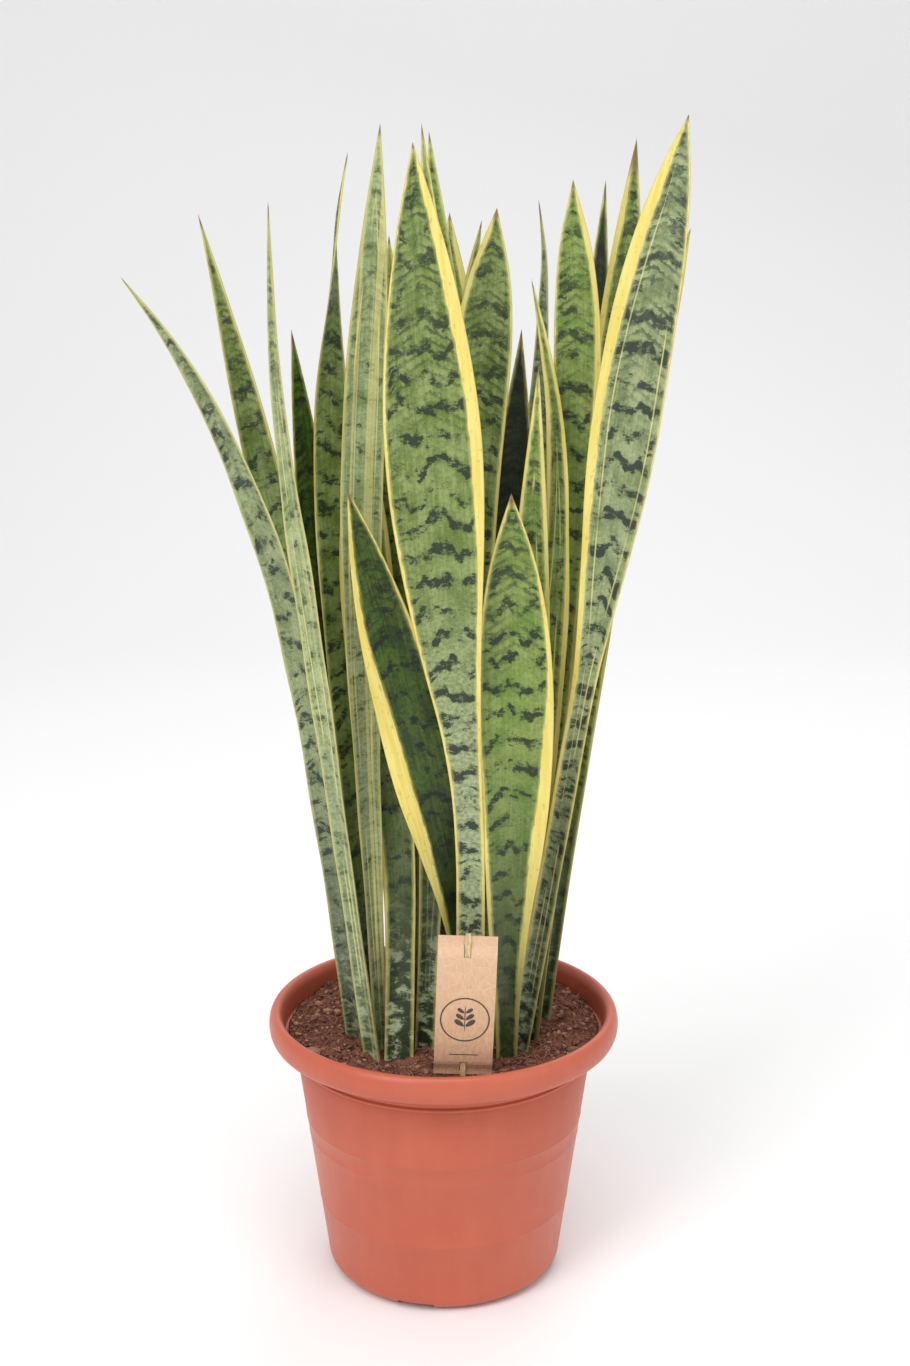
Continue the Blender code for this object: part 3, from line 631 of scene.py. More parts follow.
ICO = [(0, -0.526, 0.851), (0, 0.526, 0.851), (0, -0.526, -0.851), (0, 0.526, -0.851), (0.851, 0, 0.526),
       (0.851, 0, -0.526), (-0.851, 0, 0.526), (-0.851, 0, -0.526), (0.526, 0.851, 0), (-0.526, 0.851, 0),
       (0.526, -0.851, 0), (-0.526, -0.851, 0)]


def ico_faces():
    """The twenty faces of an icosahedron: every three corners that are all next to each other."""
    corners = [Vector(c) for c in ICO]
    side = min((corners[0] - c).length for c in corners[1:]) * 1.1
    faces = []
    for a, b, c in combinations(range(len(corners)), 3):
        if all((corners[p] - corners[q]).length <= side for p, q in ((a, b), (b, c), (a, c))):
            outward = (corners[b] - corners[a]).cross(corners[c] - corners[a]).dot(corners[a]) > 0
            faces.append((a, b, c) if outward else (a, c, b))
    return faces


def build_soil(soil):
    """The soil: an uneven top on a fill that follows the inside of the pot."""
    reach, count = SOIL_HIGH.x, SOIL_SEGMENTS
    low, high = SOIL_LOW.z + SOIL_LEVEL_MARGIN, SOIL_HIGH.z - SOIL_LEVEL_MARGIN
    levels = {round(float(z), 4) for z in corners_of("soil")[0][:, 2] if low < z < high}
    sides = [(widest("soil", z - MM / 10, z + MM / 10), z) for z in sorted(levels, reverse=True)]
    sides = [(radius, z) for radius, z in sides if radius > SOIL_SIDE_SHARE * reach]
    places = [(0.0, 0.0, soil_height(0.0, 0.0, soil))]
    for ring in range(1, SOIL_RINGS + 1):
        places += [(x, y, soil_height(x, y, soil)) for x, y in circle(reach * ring / SOIL_RINGS, count)]
    for radius, z in sides:
        places += [(x, y, z) for x, y in circle(radius, count)]
    places.append((0.0, 0.0, sides[-1][1]))
    bottom = len(places) - 1
    last = bottom - count
    faces = [(0, 1 + k, 1 + (k + 1) % count) for k in range(count)]
    faces += [(inner + k, inner + count + k, inner + count + (k + 1) % count, inner + (k + 1) % count)
              for inner in range(1, last, count) for k in range(count)]
    faces += [(last + (k + 1) % count, last + k, bottom) for k in range(count)]
    add_piece("soil_fill", places, faces, earth_material(soil), ("soil",))


def scatter(name, seed, count, make, material):
    """Lay loose bits as one piece; make gives one's corners, faces and lightness, or None for no room."""
    chance = random.Random(seed)
    places, faces, light = [], [], []
    while count:
        made = make(chance)
        if made is None:
            continue
        corners, own_faces, tone = made
        faces += [tuple(len(places) + k for k in face) for face in own_faces]
        places += corners
        light += [tone] * len(corners)
        count -= 1
    store(add_piece(name, places, faces, material), "lightness", light)


def build_crumbs(soil):
    """Loose crumbs and chips on the soil, each a lumpy pebble of its own."""
    feet = leaf_feet()
    pebble, pebble_faces = [Vector(c) for c in ICO], ico_faces()

    def crumb(chance):
        radius, angle = (SOIL_HIGH.x - 2 * MM) * sqrt(chance.random()), chance.uniform(0, 2 * pi)
        size = soil.crumb * exp(chance.gauss(-0.35, 0.45))
        x, y = radius * cos(angle), radius * sin(angle)
        flat, stretch = chance.uniform(0.35, 0.9), chance.uniform(0.8, 2.0)
        spin, tilt = chance.uniform(0, 2 * pi), chance.gauss(0, 0.5)
        turn = Matrix.Rotation(spin, 3, "Z") @ Matrix.Rotation(tilt, 3, "X")
        tone = chance.random() ** 1.6
        knobs = [chance.uniform(0.7, 1.2) for _ in pebble]
        if not clear_of_leaves(x, y, feet, LEAF_CLEARANCE + size):
            return None
        base = Vector((x, y, soil_height(x, y, soil) + size * 0.15))
        places = [base + turn @ Vector((corner.x * stretch, corner.y, corner.z * flat)) * size * 0.5 * knob
                  for corner, knob in zip(pebble, knobs)]
        return places, pebble_faces, tone

    material = scatter_material("mix_crumbs", [c * 0.5 for c in soil.earth], soil.chip, 0.9)
    scatter("soil_crumbs", CRUMB_SEED, soil.crumbs, crumb, material)


def build_fibres(soil):
    """Loose coir fibres lying in shallow arcs on the soil."""
    feet, reach = leaf_feet(), SOIL_HIGH.x
    last = FIBRE_STEPS * FIBRE_SIDES
    ends = [tuple(reversed(range(FIBRE_SIDES))), tuple(range(last, last + FIBRE_SIDES))]

    def fibre(chance):
        radius, angle = (reach - 8 * MM) * sqrt(chance.random()), chance.uniform(0, 2 * pi)
        x, y = radius * cos(angle), radius * sin(angle)
        heading, bend = chance.uniform(0, 2 * pi), chance.gauss(0, 1.1)
        span, thick = chance.uniform(7, 26) * MM, chance.uniform(0.18, 0.45) * MM
        lift, tone = chance.uniform(0.2, 2.4) * MM, chance.random()
        step = span / FIBRE_STEPS
        path = []
        for k in range(FIBRE_STEPS + 1):
            direction = heading + bend * k / FIBRE_STEPS
            x, y = x + step * cos(direction), y + step * sin(direction)
            rise = lift * sin(pi * k / FIBRE_STEPS)
            path.append(Vector((x, y, soil_height(x, y, soil) + 0.4 * MM + rise)))
        if any(p.xy.length > reach - MM or not clear_of_leaves(p.x, p.y, feet, MM) for p in path):
            return None
        places = []
        for k, spot in enumerate(path):
            ahead = (path[min(k + 1, FIBRE_STEPS)] - path[max(k - 1, 0)]).normalized()
            side = ahead.cross(Vector((0, 0, 1))).normalized()
            up = side.cross(ahead)
            slim = thick * (1 - 0.6 * abs(2 * k / FIBRE_STEPS - 1) ** 3)
            places += [spot + (side * c + up * s) * slim for c, s in circle(1.0, FIBRE_SIDES)]
        return places, tube_faces(FIBRE_STEPS + 1, FIBRE_SIDES) + ends, tone

    material = scatter_material("mix_fibres", [c * 1.2 for c in soil.earth], soil.fibre, 0.8)
    scatter("soil_fibres", FIBRE_SEED, soil.fibres, fibre, material)


# --- Leaves ---
LeafRing = namedtuple("LeafRing", "middle across face half cup thick")
EDGE_ROUNDING = 10            # the bigger, the squarer a leaf's margins
EDGE_THINNING = 0.6
RIPPLE_LENGTH = 0.120
RIPPLE_OFFSET = 2.1           # how far the left margin's ripple runs ahead of the right one's, in radians
WANDER_OFFSET = 1.3           # the same for how the yellow margins' widths wander
MOST_MARGIN = 0.55            # share of half the blade that a yellow margin may take
GOLDEN = 0.618                # of a turn between one leaf's ripple and the next leaf's
SEED_STEP = 173.0             # keeps the leaves' patterns apart in the noise


def leaf_rings(node):
    """A leaf's sections from its foot to its tip, each a ring of its solid's corners, found from the tip."""
    places, edges = corners_of(node)
    beside = {k: set() for k in range(len(places))}
    for a, b in edges:
        beside[a].add(b)
        beside[b].add(a)
    tip = int(places[:, 2].argmax())
    seen, layer, rings = {tip}, {tip}, []
    while layer:
        layer = {k for corner in layer for k in beside[corner]} - seen
        seen |= layer
        if layer:
            rings.append([Vector(places[k]) for k in sorted(layer)])
    sections = [section_of(ring, Vector(places[tip])) for ring in rings]
    last = sections[0]
    point = LeafRing(Vector(places[tip]), last.across, last.face, 0.0, 0.0, last.thick * 0.5)
    return sections[::-1] + [point]


def section_of(ring, tip):
    """Middle, directions, half width, cup and thickness of one ring of corners."""
    pairs = [(a, b) for n, a in enumerate(ring) for b in ring[n + 1:]]
    left, right = max(pairs, key=lambda pair: (pair[0] - pair[1]).length)
    middle = (left + right) / 2
    half = (right - left).length / 2
    across = (right - left).normalized()
    central = sorted(ring, key=lambda corner: abs((corner - middle).dot(across)))[:2]
    sunk = (central[0] + central[1]) / 2 - middle
    sunk -= across * sunk.dot(across)
    face = -sunk.normalized()
    if across.cross(face).dot(tip - middle) < 0:
        across = -across
    return LeafRing(middle, across, face, half, sunk.length, (central[0] - central[1]).length)


def margin_width(widths, share, wander):
    """Width of a yellow margin at a share of the leaf's length, with a little wandering."""
    width = through(widths, share * (len(widths) - 1))
    return width * (1.0 + 0.14 * sin(9 * share + wander) + 0.08 * sin(31 * share + 2 * wander))


def build_leaf(node, index, leaves, material):
    """One leaf: a fine cupped blade with rounded, slightly wavy margins, along its solid's sections."""
    look = LOOKS[node]
    rings = leaf_rings(node)
    count = leaves.stations * (len(rings) - 1)
    sweep = [sin(pi * (k / leaves.across - 0.5)) for k in range(leaves.across + 1)]
    section = [(r, 1) for r in sweep] + [(r, -1) for r in sweep[-2:0:-1]]
    phase = 2 * pi * GOLDEN * index
    seed = SEED_STEP * index
    along, before = 0.0, rings[0].middle
    places, marks = [], {"leaf_place": [], "edge_mm": [], "margin_mm": [], "share": []}

    def add_corner(place, *values):
        places.append(place)
        for kept, value in zip(marks.values(), values):
            kept.append(value)

    for station in range(count):
        place = station / leaves.stations
        ring = LeafRing(*(through([r[field] for r in rings], place) for field in range(6)))
        along += (ring.middle - before).length / MM
        before = ring.middle
        share = station / count
        across = ring.across.normalized()
        face = (ring.face - across * ring.face.dot(across)).normalized()
        half = max(ring.half, 0.25 * MM)
        swell = ease(share / 0.25) * min(1.0, 3 * (1 - share)) * min(1.0, half / (15 * MM))
        for r, side in section:
            wave = sin(2 * pi * along * MM / RIPPLE_LENGTH + phase + (RIPPLE_OFFSET if r > 0 else 0.0))
            ripple = look.ripple * MM * swell * wave * abs(r) ** 3
            thick = ring.thick / 2 * (1 - EDGE_THINNING * r * r) * sqrt(max(0.0, 1 - abs(r) ** EDGE_ROUNDING))
            out = ring.cup * (r * r - 1) + ripple + side * thick
            edge = (1 - abs(r)) * half / MM
            widths = look.left if r > 0 else look.right
            width = margin_width(widths, share, phase + (WANDER_OFFSET if r > 0 else 0.0))
            add_corner(ring.middle + across * half * r + face * out, (r * half / MM, along, seed), edge,
                       edge - min(width, MOST_MARGIN * half / MM), share)
    total = along + (rings[-1].middle - before).length / MM
    add_corner(rings[-1].middle, (0.0, total, seed), 0.0, 0.0, 1.0)
    around = len(section)
    faces = tube_faces(count, around)
    lower, point = (count - 1) * around, len(places) - 1
    faces += [(lower + k, lower + (k + 1) % around, point) for k in range(around)]
    faces += [tuple(dict.fromkeys((k, (around - k) % around, (around - k - 1) % around, k + 1)))
              for k in range(around // 2)]
    blade = add_piece(node + "_blade", places, faces, material, (node,))
    for name, values in marks.items():
        store(blade, name, values)
    store(blade, "tip_mm", [total - spot[1] for spot in marks["leaf_place"]])


# The skin's lengths are in millimetres: up from the foot, or inwards from the edge.
FROST_REACH = (0.30, 0.62)    # shares of the blade over which the grey bloom fades out
SHADE_REACH = (60.0, 320.0)   # over which the darkening near the foot fades out: partly the leaf's own deeper colour, partly painted shade among the leaf bases
MOTTLE_REACH = (20.0, 170.0)  # over which the pale clouds near the foot fade out
MARGIN_REACH = (40.0, 230.0)  # over which the yellow margins come in
CHEVRON_REACH = (0.62, 0.84)  # shares of the blade over which the chevrons come in
CHEVRON_SPACING = 8.0
STROKE_SPACING = 15.0
ROW_DROOP, CHEVRON_DROOP, STROKE_DROOP = 0.22, 0.62, 0.25  # how steeply they fall towards the edge
THREAD_INSET = 5.5            # from the yellow margin to the pale thread
SKIN_COLOURS = ("green", "pale", "dark")
SKIN_NUMBERS = ("rows", "mottle", "stripes", "dry", "glow", "bloom")


def skin_group(leaves):
    """The skin that all leaves share: streaked green, dark dashes, yellow margins, painted shade near the
    foot, a dried tip and hem.
    """
    tree = bpy.data.node_groups.new("leaf_skin", "ShaderNodeTree")
    for way, names, kind in (("INPUT", SKIN_COLOURS, "Color"), ("INPUT", SKIN_NUMBERS, "Float"),
                             ("OUTPUT", ("color",), "Color"), ("OUTPUT", ("roughness", "height"), "Float")):
        for name in names:
            tree.interface.new_socket(name, in_out=way, socket_type="NodeSocket" + kind)
    recipe = Recipe(tree)
    given = {socket.name: Value(recipe, socket) for socket in tree.nodes.new("NodeGroupInput").outputs}
    green, pale, dark = (given[name] for name in SKIN_COLOURS)
    rows, mottle, stripes, dry, glow, bloom = (given[name] for name in SKIN_NUMBERS)
    step, mix = recipe.step, recipe.mix
    place = recipe.attribute("leaf_place", "Vector")

    def pattern(across, along, *kind):
        return recipe.noise(place, (across, along, 1.0), *kind)

    along = recipe.node("SeparateXYZ", {0: place}, 1)
    edge, margin = recipe.attribute("edge_mm"), recipe.attribute("margin_mm")
    share, to_tip = recipe.attribute("share"), recipe.attribute("tip_mm")

    # green, with clouds, mottling and faint streaks along the blade; near the foot paler with bloom, and
    # darker elsewhere, partly its own colour and partly painted shade
    streak = pattern(0.40, 0.012, 3, 0.6)
    cloud = pattern(0.060, 0.045, 3, 0.55)
    grain = pattern(0.30, 0.34, 4, 0.7)
    base = mix(step(streak * 0.28 + cloud * 0.40 + grain * 0.32, 0.41, 0.60), green, pale)
    frost = mix(step(grain, 0.42, 0.60), shade(136, 148, 104), shade(172, 182, 144))
    base = mix(step(share, *FROST_REACH, 1.0, 0.0) * bloom, base, frost)
    # painted shade near the foot, over the leaf's own deeper colour there; leaves with bloom get less of it
    base = mix(step(along, *SHADE_REACH, 0.80, 0.0) * (1.0 - bloom), base, dark)

    # rows: loose bands across the blade that droop towards the margins
    wander = pattern(0.060, 0.012)
    lane = along + (wander * 44.0 - 22.0 - edge * ROW_DROOP)
    row = step(recipe.math("COSINE", lane * (2 * pi * MM / leaves.row_spacing)), -0.3, 0.95)
    gaps = step(pattern(0.055, 0.050), 0.38, 0.58, 0.25, 1.0)
    near_row = row * gaps * rows
    base = mix(near_row * 0.20, base, dark)

    # chevrons: closer, softer bands near the tip
    tilt = along - edge * CHEVRON_DROOP + (grain * 9.0 - 4.5)
    chevron = step(recipe.math("COSINE", tilt * (2 * pi / CHEVRON_SPACING)), 0.0, 0.8)
    base = mix(chevron * (step(share, *CHEVRON_REACH) * rows * gaps) * 0.60, base, dark)

    # blotches: solid, ragged-edged clumps of a few millimetres, thickest in the rows
    clump = pattern(0.160, 0.260, 4, 0.6)
    ragged = pattern(0.80, 1.15, 3, 0.65)
    score = clump + (near_row * 0.26 - 0.10) + (ragged * 0.46 - 0.23)
    base = mix(step(score, 0.48, 0.60, 0.0, 0.34), base, dark)
    blotches = step(score, 0.575, 0.635) * step(share, 0.74, 0.92, 1.0, 0.6)

    # strokes: near-level marks that start beside the margins and run inwards; and loose specks
    sag = along - edge * STROKE_DROOP + (wander * 20.0 - 10.0) + (grain * 5.0 - 2.5)
    beat = recipe.math("COSINE", sag * (2 * pi / STROKE_SPACING))
    strokes = step(beat + (step(edge, 4.0, 15.0, 0.32, 0.0) + ragged * 0.70), 1.48, 1.58) * (rows * gaps)
    specks = step(pattern(0.55, 0.60, 3), 0.575, 0.635, 0.0, 0.65) * (near_row + 0.35)
    marks = recipe.math("MAXIMUM", recipe.math("MAXIMUM", blotches, strokes), specks)
    marks = recipe.math("MINIMUM", marks, 1.0)
    base = mix(marks * 0.93, base, dark)

    # foot: pale clouds between near-black bands
    foot = step(along, *MOTTLE_REACH, 1.0, 0.0) * mottle
    clouds = pattern(0.080, 0.115, 7, 0.72, 0.2)
    base = mix(step(clouds, 0.52, 0.42, 0.0, 0.9) * foot, base, dark)
    base = mix(step(clouds, 0.49, 0.60, 0.0, 0.85) * foot, base, shade(176, 188, 150))

    # pale lines up the blade, and a pale thread beside the margins that fades in and out
    line = pattern(0.30, 0.0012, 1)
    base = mix(step(line, 0.565, 0.605) * step(stripes, 0.25, 0.9) * 0.5, base, leaves.yellow_pale)
    away = recipe.math("ABSOLUTE", margin - THREAD_INSET)
    thread = step(away, 0.25, 0.75, 1.0, 0.0) * step(wander, 0.42, 0.56) * step(stripes, 0.05, 0.2)
    base = mix(thread * 0.55, base, leaves.yellow_pale)

    # yellow margins, ochre near the foot, with a soft greenish inner side
    fine = pattern(0.30, 0.020, 3)
    yellow = mix(step(fine, 0.36, 0.68, 0.15, 0.75), leaves.yellow, leaves.yellow_pale)
    yellow = mix(glow, leaves.cream, yellow)
    yellow = mix(step(share, 0.02, 0.30, 0.75, 0.0) * step(fine, 0.30, 0.60), yellow, leaves.ochre)
    yellow = mix(step(pattern(0.30, 0.16, 4), 0.58, 0.70, 0.0, 0.5), yellow, leaves.ochre)
    bound = margin + (pattern(0.5, 0.10, 3) * 2.4 - 1.2)
    base = mix(step(bound, 0.2, 2.2, 0.45, 0.0), base, mix(0.5, pale, leaves.yellow_pale))
    base = mix(step(bound, -0.4, 0.3, 1.0, 0.0) * step(along, *MARGIN_REACH, 0.22, 1.0), base, yellow)

    # dried hem and tip
    base = mix(step(edge, 0.15, 0.75, 0.30, 0.0), base, leaves.dry)
    reach = recipe.math("DIVIDE", to_tip, recipe.math("MAXIMUM", dry, 0.1))
    base = mix(step(reach, 0.5, 1.3, 0.85, 0.0), base, leaves.dry)

    ridge = pattern(0.95, 0.008)
    pores = pattern(2.2, 1.4)
    recipe.feed(tree.nodes.new("NodeGroupOutput").inputs,
                {"color": base, "roughness": cloud * 0.22 + 0.30 + marks * 0.06,
                 "height": ridge * 0.75 + pores * 0.25})
    return tree


def skin_material(node, group):
    """One leaf's own skin: the shared one in this leaf's tone."""
    look = LOOKS[node]
    recipe = Material(node + "_skin")
    given = {name: getattr(TONES[look.tone], name) for name in SKIN_COLOURS}
    given |= {name: getattr(look, name) for name in SKIN_NUMBERS}
    skin = recipe.node("Group", given, node_tree=group).socket.node
    base, roughness, height = (Value(recipe, socket) for socket in skin.outputs)
    return recipe.finish(base, roughness, recipe.bump(height, 0.0006, 0.7), 0.45)


def build_leaves(leaves):
    """All the leaves, which share one skin group."""
    group = skin_group(leaves)
    for index, node in enumerate(LOOKS):
        build_leaf(node, index, leaves, skin_material(node, group))


# --- Label ---
INK_GAP = 0.00003             # between the card and its print
RING_POINTS = 96
LEAFLET_POINTS = 24
SPRIG_PAIRS = 3
SPRIG_STEP = 0.32             # from one pair of leaflets to the next, as a share of the ring's inside
SPRIG_SPLAY = radians(52)
RULE_RISE = 0.019             # from the card's lower edge
RULE_HALF = 0.011             # half its length
RULE_LINE = 0.0007
CRACKLE_SCALE = 105.0
CRACKLE_REACH = (0.52, 0.66)  # shares of the card's height over which the crackle comes in


def card_frame():
    """The matrix from the card's own axes to the world's, and its extents in its own axes."""
    places = corners_of("tag_card")[0]
    centre = places.mean(axis=0)
    spread = np.linalg.svd(places - centre, full_matrices=False)[2]
    up, right, out = (Vector(axis) for axis in spread)
    up = up if up.z > 0 else -up
    right = right if right.x > 0 else -right
    out = out if out.y < 0 else -out
    turn = Matrix((right, up, out)).transposed()
    own = (places - centre) @ np.array(turn)
    matrix = Matrix.Translation(centre) @ turn.to_4x4()
    return matrix, own.min(axis=0), own.max(axis=0)


def ink_ribbon(outer, inner, front, thickness):
    """A closed flat ribbon between two outlines of as many points, lying on the card's front."""
    count = len(outer)
    places = [(x, y, z) for z in (front, front + thickness) for line in (outer, inner) for x, y in line]
    faces = []
    for k in range(count):
        after = (k + 1) % count
        faces.append((2 * count + k, 2 * count + after, 3 * count + after, 3 * count + k))
        faces.append((after, k, count + k, count + after))
        faces.append((k, after, 2 * count + after, 2 * count + k))
        faces.append((count + after, count + k, 3 * count + k, 3 * count + after))
    return places, faces


def leaflet(x, y, reach, width, angle):
    """Outline of one small pointed leaf of the sprig."""
    points = []
    for k in range(LEAFLET_POINTS):
        turn = 2 * pi * k / LEAFLET_POINTS
        along, side = reach * (0.5 - 0.5 * cos(turn)), width * sin(turn) * (0.5 + 0.5 * sin(turn / 2))
        points.append((x + along * cos(angle) - side * sin(angle),
                       y + along * sin(angle) + side * cos(angle)))
    return points


def kraft_material(label, low, high):
    """Uncoated kraft card: flecks and fibres, an embossed crackle in its upper part, a lighter upper end."""
    recipe = Material("kraft_card")
    here = recipe.here()
    height = recipe.node("SeparateXYZ", {0: here}, 2)
    fibre = recipe.noise(here, (700, 700, 160), 4, 0.7)
    fleck = recipe.noise(here, (1300, 1300, 1300), 1)
    crackle = recipe.node("TexVoronoi", {"Vector": here, "Scale": CRACKLE_SCALE}, feature="DISTANCE_TO_EDGE")
    start, full = (low + share * (high - low) for share in CRACKLE_REACH)
    pressed = (1.0 - recipe.step(crackle, 0.02, 0.10)) * recipe.step(height, start, full)
    base = recipe.mix(recipe.step(height, low, high), label.kraft_deep, label.kraft)
    base = recipe.mix(recipe.step(fibre, 0.40, 0.66, 0.0, 0.5), base, shade(226, 192, 160))
    base = recipe.mix(recipe.step(fleck, 0.68, 0.74, 0.0, 0.5), base, shade(132, 96, 70))
    base = recipe.mix(pressed * 0.16, base, shade(236, 208, 178))
    return recipe.finish(base, 0.86, recipe.bump(fibre * 0.35 - pressed * 0.35, 0.0004))


def wood_material(label):
    """Bare pale wood with fine grain along the stick."""
    recipe = Material("stick_wood")
    grain = recipe.noise(recipe.here(), (900, 900, 22), 5, 0.7, 0.3)
    base = recipe.mix(recipe.step(grain, 0.38, 0.62), [c * 0.62 for c in label.wood], label.wood)
    return recipe.finish(base, 0.7, recipe.bump(grain, 0.0003))


def ink_material(label):
    """Dark print that the card's grain shows through."""
    recipe = Material("label_ink")
    worn = recipe.noise(recipe.here(), (1500, 1500, 1500), 3, 0.7)
    base = recipe.mix(recipe.step(worn, 0.55, 0.72, 0.0, 0.7), label.ink, label.kraft_deep)
    return recipe.finish(base, 0.8)


def build_label(label):
    """The label: card and stick in their materials, and a plain printed ring with a leaf sprig and a rule."""
    low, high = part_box("tag_card")
    dress("tag_card", kraft_material(label, low.z, high.z))
    dress("tag_stick", wood_material(label))
    matrix, lowest, highest = card_frame()
    front, thickness = float(highest[2]) + INK_GAP, label.ink_thickness
    middle_x, foot = float(lowest[0] + highest[0]) / 2, float(lowest[1])
    centre_y = foot + label.ring_rise
    inside = label.ring_radius - label.ring_line
    rings = [circle(r, RING_POINTS, middle_x, centre_y) for r in (label.ring_radius, inside)]
    shapes = {"label_ring": ink_ribbon(*rings, front, thickness)}
    stem = leaflet(middle_x, centre_y - 0.6 * inside, 1.25 * inside, 0.45 * MM, pi / 2)
    outlines = {"label_sprig_stem": stem}
    for pair in range(SPRIG_PAIRS):
        rise = centre_y + inside * (SPRIG_STEP * pair - SPRIG_STEP)
        size = inside * (0.50 - 0.07 * pair)
        for side, word in ((1, "right"), (-1, "left")):
            outlines[f"label_sprig_leaf_{word}_{pair + 1}"] = leaflet(
                middle_x + side * 0.7 * MM, rise, size, 0.26 * size, pi / 2 - side * SPRIG_SPLAY)
    left, right, rule_foot = middle_x - RULE_HALF, middle_x + RULE_HALF, foot + RULE_RISE
    rule_top = rule_foot + RULE_LINE
    outlines["label_rule"] = [(left, rule_foot), (right, rule_foot), (right, rule_top), (left, rule_top)]
    shapes |= {name: prism(outline, front, front + thickness) for name, outline in outlines.items()}
    ink = ink_material(label)
    for name, (places, faces) in shapes.items():
        piece = add_piece(name, [matrix @ Vector(p) for p in places], faces, ink)
        piece.data.shade_flat()


# --- Stage ---
FLOOR_FRONT = -6.0
FLOOR_BACK = 2.2              # where the floor starts to sweep up
FLOOR_SWEEP = 1.6             # radius of the sweep
FLOOR_SIDE = 7.0              # half its width
FLOOR_TOP = 6.0
SWEEP_STEPS = 15
CAMERA_SIDE = 0.0093
LIGHT_TARGET = 0.25           # height over the pot that the lights point at
LIGHTS = {                    # place, size and power
    "key_light": ((-1.7, -2.2, 2.5), 1.5, 42.0),
    "fill_light": ((2.3, -1.7, 1.6), 2.0, 14.0),
    "back_light": ((0.6, 2.0, 2.6), 1.8, 20.0),
    "top_light": ((0.0, -1.3, 3.0), 1.6, 30.0),
}
WORLD_STRENGTH = 0.60


def build_stage(stage):
    """A plain pale floor that sweeps up behind, four soft lights and the camera."""
    turns = [pi / 2 * k / SWEEP_STEPS for k in range(SWEEP_STEPS + 1)]
    sweep = [(FLOOR_BACK + FLOOR_SWEEP * sin(turn), FLOOR_SWEEP - FLOOR_SWEEP * cos(turn)) for turn in turns]
    profile = [(FLOOR_FRONT, 0.0), *sweep, (FLOOR_BACK + FLOOR_SWEEP, FLOOR_TOP)]
    places = [(x, y, z) for y, z in profile for x in (-FLOOR_SIDE, FLOOR_SIDE)]
    faces = [(2 * k, 2 * k + 1, 2 * k + 3, 2 * k + 2) for k in range(len(profile) - 1)]
    floor = put_in_scene("floor", new_mesh("floor", places, faces))
    floor.data.materials.append(Material("studio_floor").finish(stage.floor, 0.9))
    middle = Vector((0.0, 0.0, POT_HEIGHT + LIGHT_TARGET))
    for name, (place, size, power) in LIGHTS.items():
        lamp = bpy.data.lights.new(name, "AREA")
        lamp.shape = "SQUARE"
        lamp.size = size
        lamp.energy = power
        light = put_in_scene(name, lamp)
        light.location = place
        light.rotation_euler = (middle - Vector(place)).to_track_quat("-Z", "Y").to_euler()
    world = bpy.data.worlds.new("studio")
    world.use_nodes = True
    background = world.node_tree.nodes["Background"].inputs
    background["Color"].default_value = (1.0, 1.0, 1.0, 1.0)
    background["Strength"].default_value = WORLD_STRENGTH
    bpy.context.scene.world = world
    bpy.context.scene.view_settings.view_transform = "Standard"
    camera = bpy.data.cameras.new("camera")
    camera.lens = stage.camera_lens
    camera.sensor_width = 36.0
    view = put_in_scene("camera", camera)
    view.location = (CAMERA_SIDE, -stage.camera_distance, stage.camera_height)
    view.rotation_euler = (pi / 2 - stage.camera_pitch, 0.0, 0.0)
    bpy.context.scene.camera = view


# --- Add-on ---
class BuildButton:
    """What every build button does: run its builders on the settings of its part."""

    def execute(self, context):
        for build in self.builders:
            build(getattr(context.scene, "snake_plant_" + self.part))
        return {"FINISHED"}


class SNAKEPLANT_OT_pot(BuildButton, bpy.types.Operator):
    """Build the plastic pot"""
    bl_idname = "snakeplant.pot"
    bl_label = "Pot"
    part, builders = "pot", (build_pot,)


class SNAKEPLANT_OT_soil(BuildButton, bpy.types.Operator):
    """Build the soil and its uneven surface"""
    bl_idname = "snakeplant.soil"
    bl_label = "Soil"
    part, builders = "soil", (build_soil,)


class SNAKEPLANT_OT_crumbs(BuildButton, bpy.types.Operator):
    """Scatter loose crumbs, chips and fibres on the soil"""
    bl_idname = "snakeplant.crumbs"
    bl_label = "Crumbs and Fibres"
    part, builders = "soil", (build_crumbs, build_fibres)


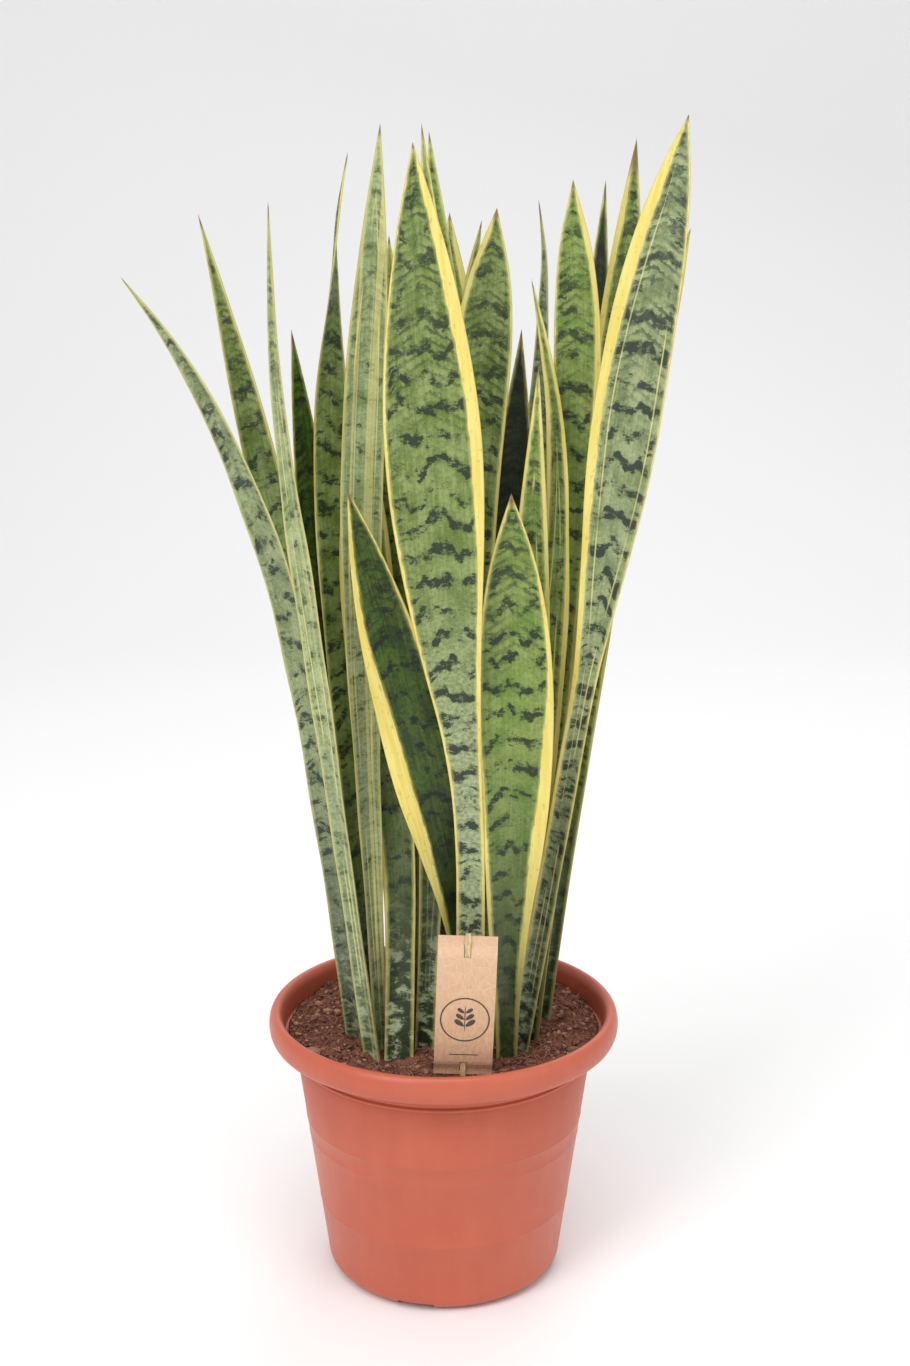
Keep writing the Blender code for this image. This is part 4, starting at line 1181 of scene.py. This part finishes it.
class SNAKEPLANT_OT_leaves(BuildButton, bpy.types.Operator):
    """Build every leaf along the solid it stands for"""
    bl_idname = "snakeplant.leaves"
    bl_label = "Leaves"
    part, builders = "leaves", (build_leaves,)


class SNAKEPLANT_OT_label(BuildButton, bpy.types.Operator):
    """Finish the card label and its stick"""
    bl_idname = "snakeplant.label"
    bl_label = "Label"
    part, builders = "label", (build_label,)


class SNAKEPLANT_OT_stage(BuildButton, bpy.types.Operator):
    """Set up the floor, the lights and the camera"""
    bl_idname = "snakeplant.stage"
    bl_label = "Stage"
    part, builders = "stage", (build_stage,)


OPERATORS = (SNAKEPLANT_OT_pot, SNAKEPLANT_OT_soil, SNAKEPLANT_OT_crumbs, SNAKEPLANT_OT_leaves,
             SNAKEPLANT_OT_label, SNAKEPLANT_OT_stage)


class SNAKEPLANT_PT_panel(bpy.types.Panel):
    """Sizes, colours and build buttons for each part of the plant"""
    bl_idname = "SNAKEPLANT_PT_panel"
    bl_label = "Potted Snake Plant"
    bl_space_type = "VIEW_3D"
    bl_region_type = "UI"
    bl_category = "Snake Plant"

    def draw(self, context):
        for operator in OPERATORS:
            self.layout.operator(operator.bl_idname)
        for key, group in SETTINGS.items():
            box = self.layout.box()
            box.label(text=key.capitalize())
            for name in group.__annotations__:
                box.prop(getattr(context.scene, "snake_plant_" + key), name)


CLASSES = (*SETTINGS.values(), *OPERATORS, SNAKEPLANT_PT_panel)


def register():
    for item in CLASSES:
        bpy.utils.register_class(item)
    for key, group in SETTINGS.items():
        setattr(bpy.types.Scene, "snake_plant_" + key, PointerProperty(type=group))


def unregister():
    for key in SETTINGS:
        delattr(bpy.types.Scene, "snake_plant_" + key)
    for item in reversed(CLASSES):
        bpy.utils.unregister_class(item)


def main():
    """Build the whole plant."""
    register()
    bpy.ops.snakeplant.pot()
    bpy.ops.snakeplant.soil()
    bpy.ops.snakeplant.crumbs()
    bpy.ops.snakeplant.leaves()
    bpy.ops.snakeplant.label()
    bpy.ops.snakeplant.stage()


if __name__ == "__main__":
    main()
